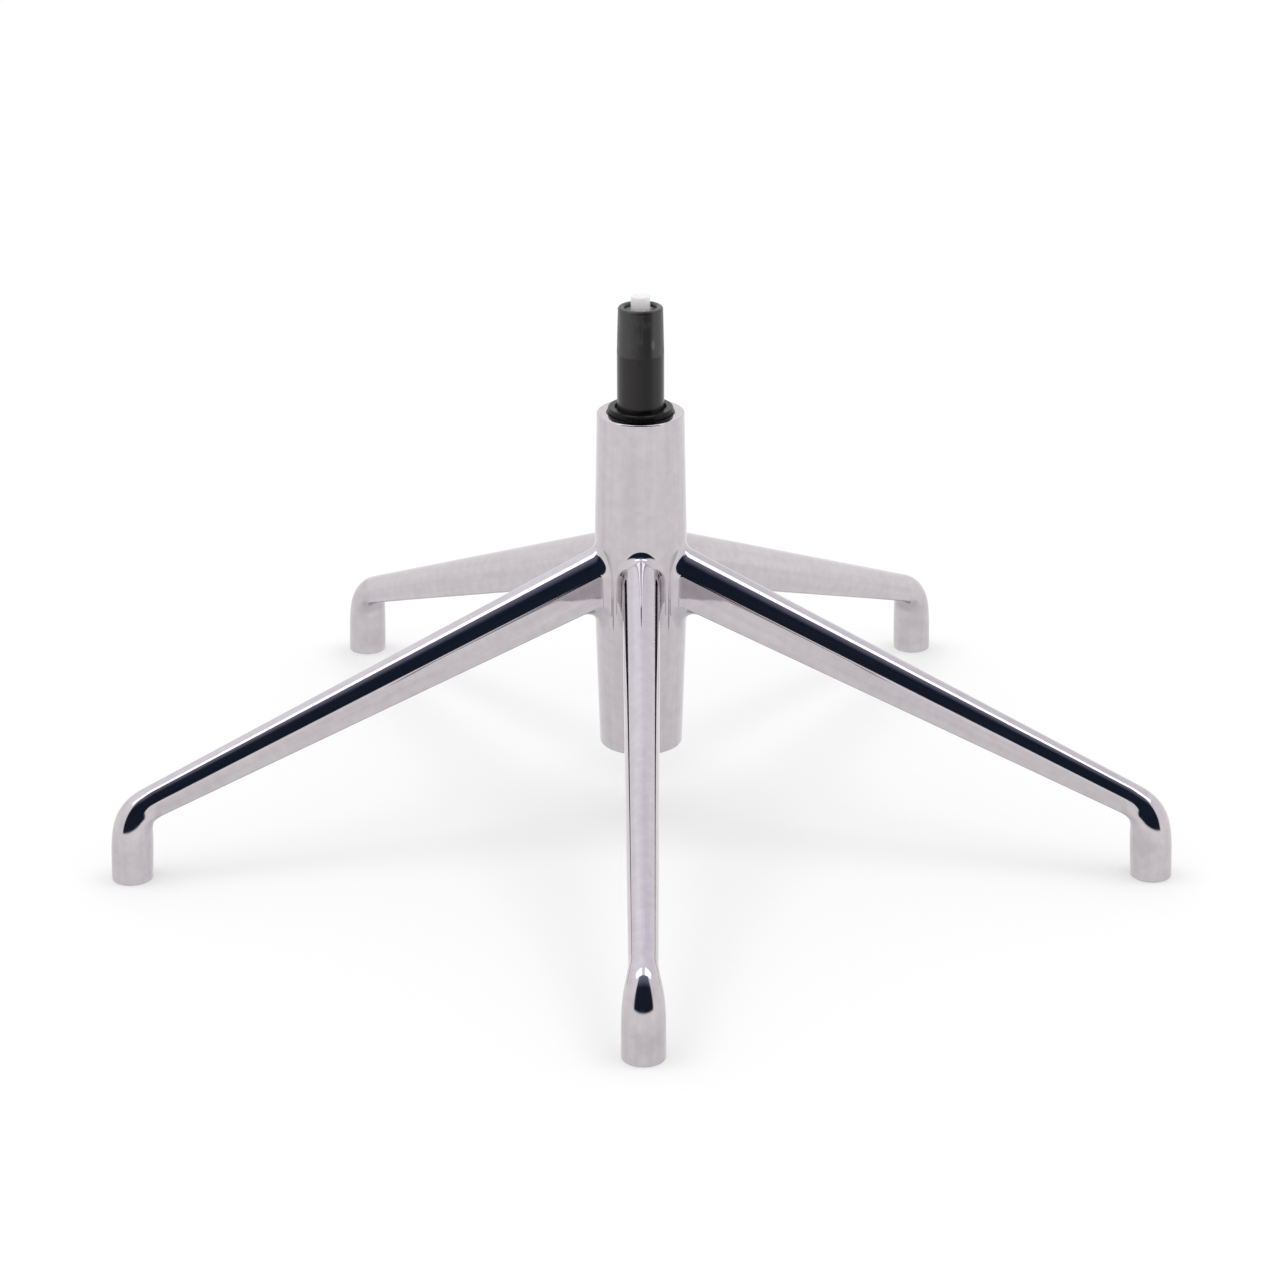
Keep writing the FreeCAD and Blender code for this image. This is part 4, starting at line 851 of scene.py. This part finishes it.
def cast_aluminium():
    material, n, shader = principled("cast_aluminium")
    x, y, z, reach, turn = n.places()
    step = 2 * math.pi / ARM_COUNT
    turned = n.math("ADD", turn, 2 * math.pi + step / 2 - FIRST_ARM)
    arm = n.math("FLOOR", n.math("DIVIDE", turned, step))
    off_axis = n.math("SUBTRACT", n.math("MODULO", turned, step), step / 2)
    along = n.math("MULTIPLY", reach, n.math("COSINE", off_axis))
    across = n.math("MULTIPLY", reach, n.math("SINE", off_axis))
    lifted = n.math("ADD", n.math("ADD", z, n.math("MULTIPLY", along, ARM_FALL)), arm)
    drawn = n.cloud((along, across, lifted), (STREAK_LONG, STREAK_WIDE, STREAK_WIDE))
    upright = n.cloud((x, y, z), (STREAK_WIDE, STREAK_WIDE, STREAK_LONG))
    standing = n.math("MAXIMUM", n.spread(reach, HUB_REACH[1], HUB_REACH[0]), n.spread(reach, *FOOT_FROM))
    streak = n.blend(standing, drawn, upright)
    mottle = n.cloud((x, y, z), (MOTTLE, MOTTLE, MOTTLE), detail=3.0)
    haze = n.cloud((x, y, z), (STAIN, STAIN, STAIN), detail=4.0)
    stained = n.math("MULTIPLY", n.spread(haze, 0.50, 0.68), n.spread(reach, *FOOT_FROM, 0.25, 0.8))

    tone = n.spread(n.blend(0.5, mottle, streak), 0.32, 0.68, smooth=False)
    colour = n.mix(tone, ALUMINIUM_DEEP, ALUMINIUM_PALE)
    colour = n.mix(n.math("MULTIPLY", stained, 0.4), colour, ALUMINIUM_STAIN)
    nick = n.spot((x, y, z), NICK, NICK_SIZE)
    colour = n.mix(nick, colour, (0.05, 0.05, 0.055))
    n.join(colour, shader.inputs["Base Color"])
    rough = n.math("ADD", n.spread(streak, 0.3, 0.7, 0.04, 0.085), n.math("MULTIPLY", stained, 0.06))
    n.join(n.math("ADD", rough, n.math("MULTIPLY", nick, 0.4)), shader.inputs["Roughness"])
    n.relief(shader, n.blend(0.5, mottle, streak), 0.03)
    shader.inputs["Metallic"].default_value = 1.0
    return material


# Glossy moulded plastic of the guide bush, with a fine moulding grain and a few pale scuffs
def black_plastic():
    material, n, shader = principled("black_plastic")
    x, y, z = n.places()[:3]
    grain = n.cloud((x, y, z), (0.0006, 0.0006, 0.0006))
    haze = n.cloud((x, y, z), (0.009, 0.009, 0.004), detail=3.0)
    scuff = n.spread(haze, 0.58, 0.72)
    colour = n.mix(grain, (0.0035, 0.0035, 0.004), (0.006, 0.006, 0.007))
    n.join(n.mix(n.math("MULTIPLY", scuff, 0.4), colour, (0.03, 0.03, 0.034)), shader.inputs["Base Color"])
    n.join(n.blend(scuff, n.spread(grain, 0.3, 0.7, 0.2, 0.26), 0.42), shader.inputs["Roughness"])
    n.relief(shader, grain, 0.006)
    shader.inputs["Specular IOR Level"].default_value = 0.18
    return material


# Black finish of the column: glossy on its straight part, rubbed grey on its tapered seat, with painted
# light and shade across its width
TAPER_FROM = 0.2940
TAPER_BLUR = 0.0006
# Painted light and shade: the column is darkest in a narrow upright stripe just right of its centre, which
# is a painted reflection, and paler towards both sides, which is painted light.
LEFT_PAINTED_LIGHT = (0.0045, -0.008)
RIGHT_PAINTED_LIGHT = (0.0050, 0.0085)
STRAIGHT_PAINTED_DARK_STRIPE = (0.004, 0.004, 0.004)
STRAIGHT_PAINTED_PALE_SIDES = (0.023, 0.020, 0.021)
TAPER_PAINTED_DARK_STRIPE = (0.006, 0.005, 0.006)
TAPER_PAINTED_PALE_SIDES = (0.058, 0.055, 0.056)
TAPER_HAZE = (0.080, 0.078, 0.078)
TAPER_DRAWN = (0.075, 0.072, 0.073)
RUB_LIGHT = (7.2, -11.2, 302.0)
RUB_BROWN = (10.8, -8.2, 296.5)
WET_DARK = (2.0, -13.8, 291.0)


def black_steel():
    material, n, shader = principled("black_steel")
    x, y, z, reach, turn = n.places()
    tapered = n.spread(z, TAPER_FROM - TAPER_BLUR, TAPER_FROM + TAPER_BLUR)
    drawn = n.cloud((x, y, z), (0.0012, 0.0012, 0.05))
    turning = n.cloud((reach, z, turn), (0.0006, 0.0006, 3.0))
    haze = n.cloud((x, y, z), (0.006, 0.006, 0.011), detail=4.0)
    # Painted light and shade: this mask is zero in the painted dark stripe and one on the painted pale
    # sides; on the seat the rubbed wear is laid over it.
    painted_pale_sides = n.math("MAXIMUM", n.spread(x, *LEFT_PAINTED_LIGHT), n.spread(x, *RIGHT_PAINTED_LIGHT))
    straight = n.mix(painted_pale_sides, STRAIGHT_PAINTED_DARK_STRIPE, STRAIGHT_PAINTED_PALE_SIDES)
    rubbed_with_painted_light = n.mix(painted_pale_sides, TAPER_PAINTED_DARK_STRIPE, TAPER_PAINTED_PALE_SIDES)
    rubbed_with_painted_light = n.mix(n.math("MULTIPLY", n.spread(haze, 0.5, 0.68), 0.35), rubbed_with_painted_light, TAPER_HAZE)
    rubbed_with_painted_light = n.mix(n.math("MULTIPLY", n.spread(drawn, 0.5, 0.75), 0.25), rubbed_with_painted_light, TAPER_DRAWN)
    colour = n.mix(tapered, straight, rubbed_with_painted_light)
    spots = (
        (RUB_LIGHT, 1.9, 2.4, 0.45, (0.20, 0.195, 0.20)),
        (RUB_BROWN, 2.0, 0.8, 0.45, (0.14, 0.085, 0.06)),
        (WET_DARK, 5.5, 0.5, 0.9, (0.003, 0.003, 0.004)),
    )
    for centre, size, tall, share_of_tint, tint in spots:
        worn = n.math("MULTIPLY", n.spot((x, y, z), centre, size, tall), n.spread(haze, 0.25, 0.5))
        colour = n.mix(n.math("MULTIPLY", worn, share_of_tint), colour, tint)
    n.join(colour, shader.inputs["Base Color"])
    rough = n.blend(tapered, n.spread(drawn, 0.3, 0.7, 0.17, 0.24), n.spread(haze, 0.3, 0.7, 0.28, 0.42))
    n.join(rough, shader.inputs["Roughness"])
    n.relief(shader, n.blend(tapered, drawn, turning), 0.004)
    shader.inputs["Specular IOR Level"].default_value = 0.3
    return material


# Translucent white button, a little yellowed where it has been pressed
PRESSED_END = (0.3265, 0.329)


def white_plastic():
    material, n, shader = principled("white_plastic")
    x, y, z = n.places()[:3]
    cloudy = n.cloud((x, y, z), (0.003, 0.003, 0.003), detail=3.0)
    pressed = n.math("MULTIPLY", n.spread(z, *PRESSED_END), n.spread(cloudy, 0.35, 0.65))
    colour = n.mix(cloudy, (0.880, 0.850, 0.865), (0.915, 0.890, 0.900))
    n.join(n.mix(n.math("MULTIPLY", pressed, 0.5), colour, (0.86, 0.82, 0.79)), shader.inputs["Base Color"])
    n.join(n.spread(cloudy, 0.3, 0.7, 0.24, 0.36), shader.inputs["Roughness"])
    n.relief(shader, cloudy, 0.006)
    shader.inputs["Subsurface Weight"].default_value = 0.9
    shader.inputs["Subsurface Radius"].default_value = (1.0, 0.95, 0.9)
    shader.inputs["Subsurface Scale"].default_value = 0.004
    return material


# A metal turned on a lathe or drawn, with fine rings round its axis and a soft haze over them
def turned_metal(name, deep, pale, dull, rings, smooth, rough):
    material, n, shader = principled(name)
    x, y, z, reach, turn = n.places()
    cut = n.cloud((reach, z, turn), (rings, rings, 2.5))
    haze = n.cloud((x, y, z), (0.005, 0.005, 0.005), detail=4.0)
    dulled = n.spread(haze, 0.52, 0.72)
    colour = n.mix(cut, deep, pale)
    n.join(n.mix(n.math("MULTIPLY", dulled, 0.6), colour, dull), shader.inputs["Base Color"])
    worn = n.blend(dulled, n.spread(cut, 0.3, 0.7, smooth, rough), rough * 1.3)
    n.join(worn, shader.inputs["Roughness"])
    n.relief(shader, cut, rings * 8.0)
    shader.inputs["Metallic"].default_value = 1.0
    return material


def ring_steel():
    deep, pale, dull = (0.16, 0.155, 0.155), (0.30, 0.29, 0.29), (0.09, 0.085, 0.08)
    return turned_metal("ring_steel", deep, pale, dull, 0.0004, 0.3, 0.42)


def bright_steel():
    deep, pale, dull = (0.60, 0.60, 0.61), (0.70, 0.70, 0.71), (0.52, 0.51, 0.50)
    return turned_metal("bright_steel", deep, pale, dull, 0.0002, 0.06, 0.11)


def plain_steel():
    deep, pale, dull = (0.33, 0.33, 0.34), (0.45, 0.45, 0.46), (0.26, 0.25, 0.24)
    return turned_metal("plain_steel", deep, pale, dull, 0.0003, 0.26, 0.38)


def brass():
    deep, pale, dull = (0.58, 0.41, 0.17), (0.72, 0.53, 0.24), (0.42, 0.30, 0.14)
    return turned_metal("brass", deep, pale, dull, 0.0003, 0.2, 0.3)


# Natural nylon of the bearing cage and the piston ring: cloudy cream with patches of grease
def cage_plastic():
    material, n, shader = principled("cage_plastic")
    x, y, z = n.places()[:3]
    cloudy = n.cloud((x, y, z), (0.004, 0.004, 0.004), detail=3.0)
    grain = n.cloud((x, y, z), (0.0005, 0.0005, 0.0005))
    colour = n.mix(cloudy, (0.56, 0.50, 0.38), (0.68, 0.63, 0.51))
    greased = n.math("MULTIPLY", n.spread(cloudy, 0.56, 0.7), 0.5)
    n.join(n.mix(greased, colour, (0.40, 0.31, 0.17)), shader.inputs["Base Color"])
    n.join(n.spread(cloudy, 0.3, 0.7, 0.48, 0.26), shader.inputs["Roughness"])
    n.relief(shader, grain, 0.006)
    shader.inputs["Subsurface Weight"].default_value = 0.15
    shader.inputs["Subsurface Radius"].default_value = (1.0, 0.8, 0.5)
    shader.inputs["Subsurface Scale"].default_value = 0.002
    return material


# Moulded rubber of the seals and the bump stop: dull, dusty and finely pitted
def rubber():
    material, n, shader = principled("rubber")
    x, y, z = n.places()[:3]
    pits = n.cloud((x, y, z), (0.0004, 0.0004, 0.0004), detail=3.0)
    dust = n.cloud((x, y, z), (0.003, 0.003, 0.003), detail=4.0)
    colour = n.mix(pits, (0.012, 0.012, 0.012), (0.024, 0.023, 0.023))
    dusty = n.math("MULTIPLY", n.spread(dust, 0.5, 0.7), 0.5)
    n.join(n.mix(dusty, colour, (0.06, 0.057, 0.053)), shader.inputs["Base Color"])
    n.join(n.spread(dust, 0.3, 0.7, 0.5, 0.72), shader.inputs["Roughness"])
    n.relief(shader, pits, 0.02)
    return material


def add_finishes(casting):
    makers = (cast_aluminium, black_plastic, black_steel, white_plastic, ring_steel, bright_steel,
              plain_steel, brass, cage_plastic, rubber)
    finishes = {maker.__name__: maker() for maker in makers}
    for part in frame["record"]["subparts"]:
        node = frame["nodes"][part["node"]]
        node.data.materials.clear()
        node.data.materials.append(finishes[part["material_slot"]])
    casting.data.materials.append(finishes["cast_aluminium"])


bpy.context.scene.view_settings.view_transform = "Standard"
add_camera()
add_world()
add_floor()
add_lamps()
casting = add_casting()
add_finishes(casting)
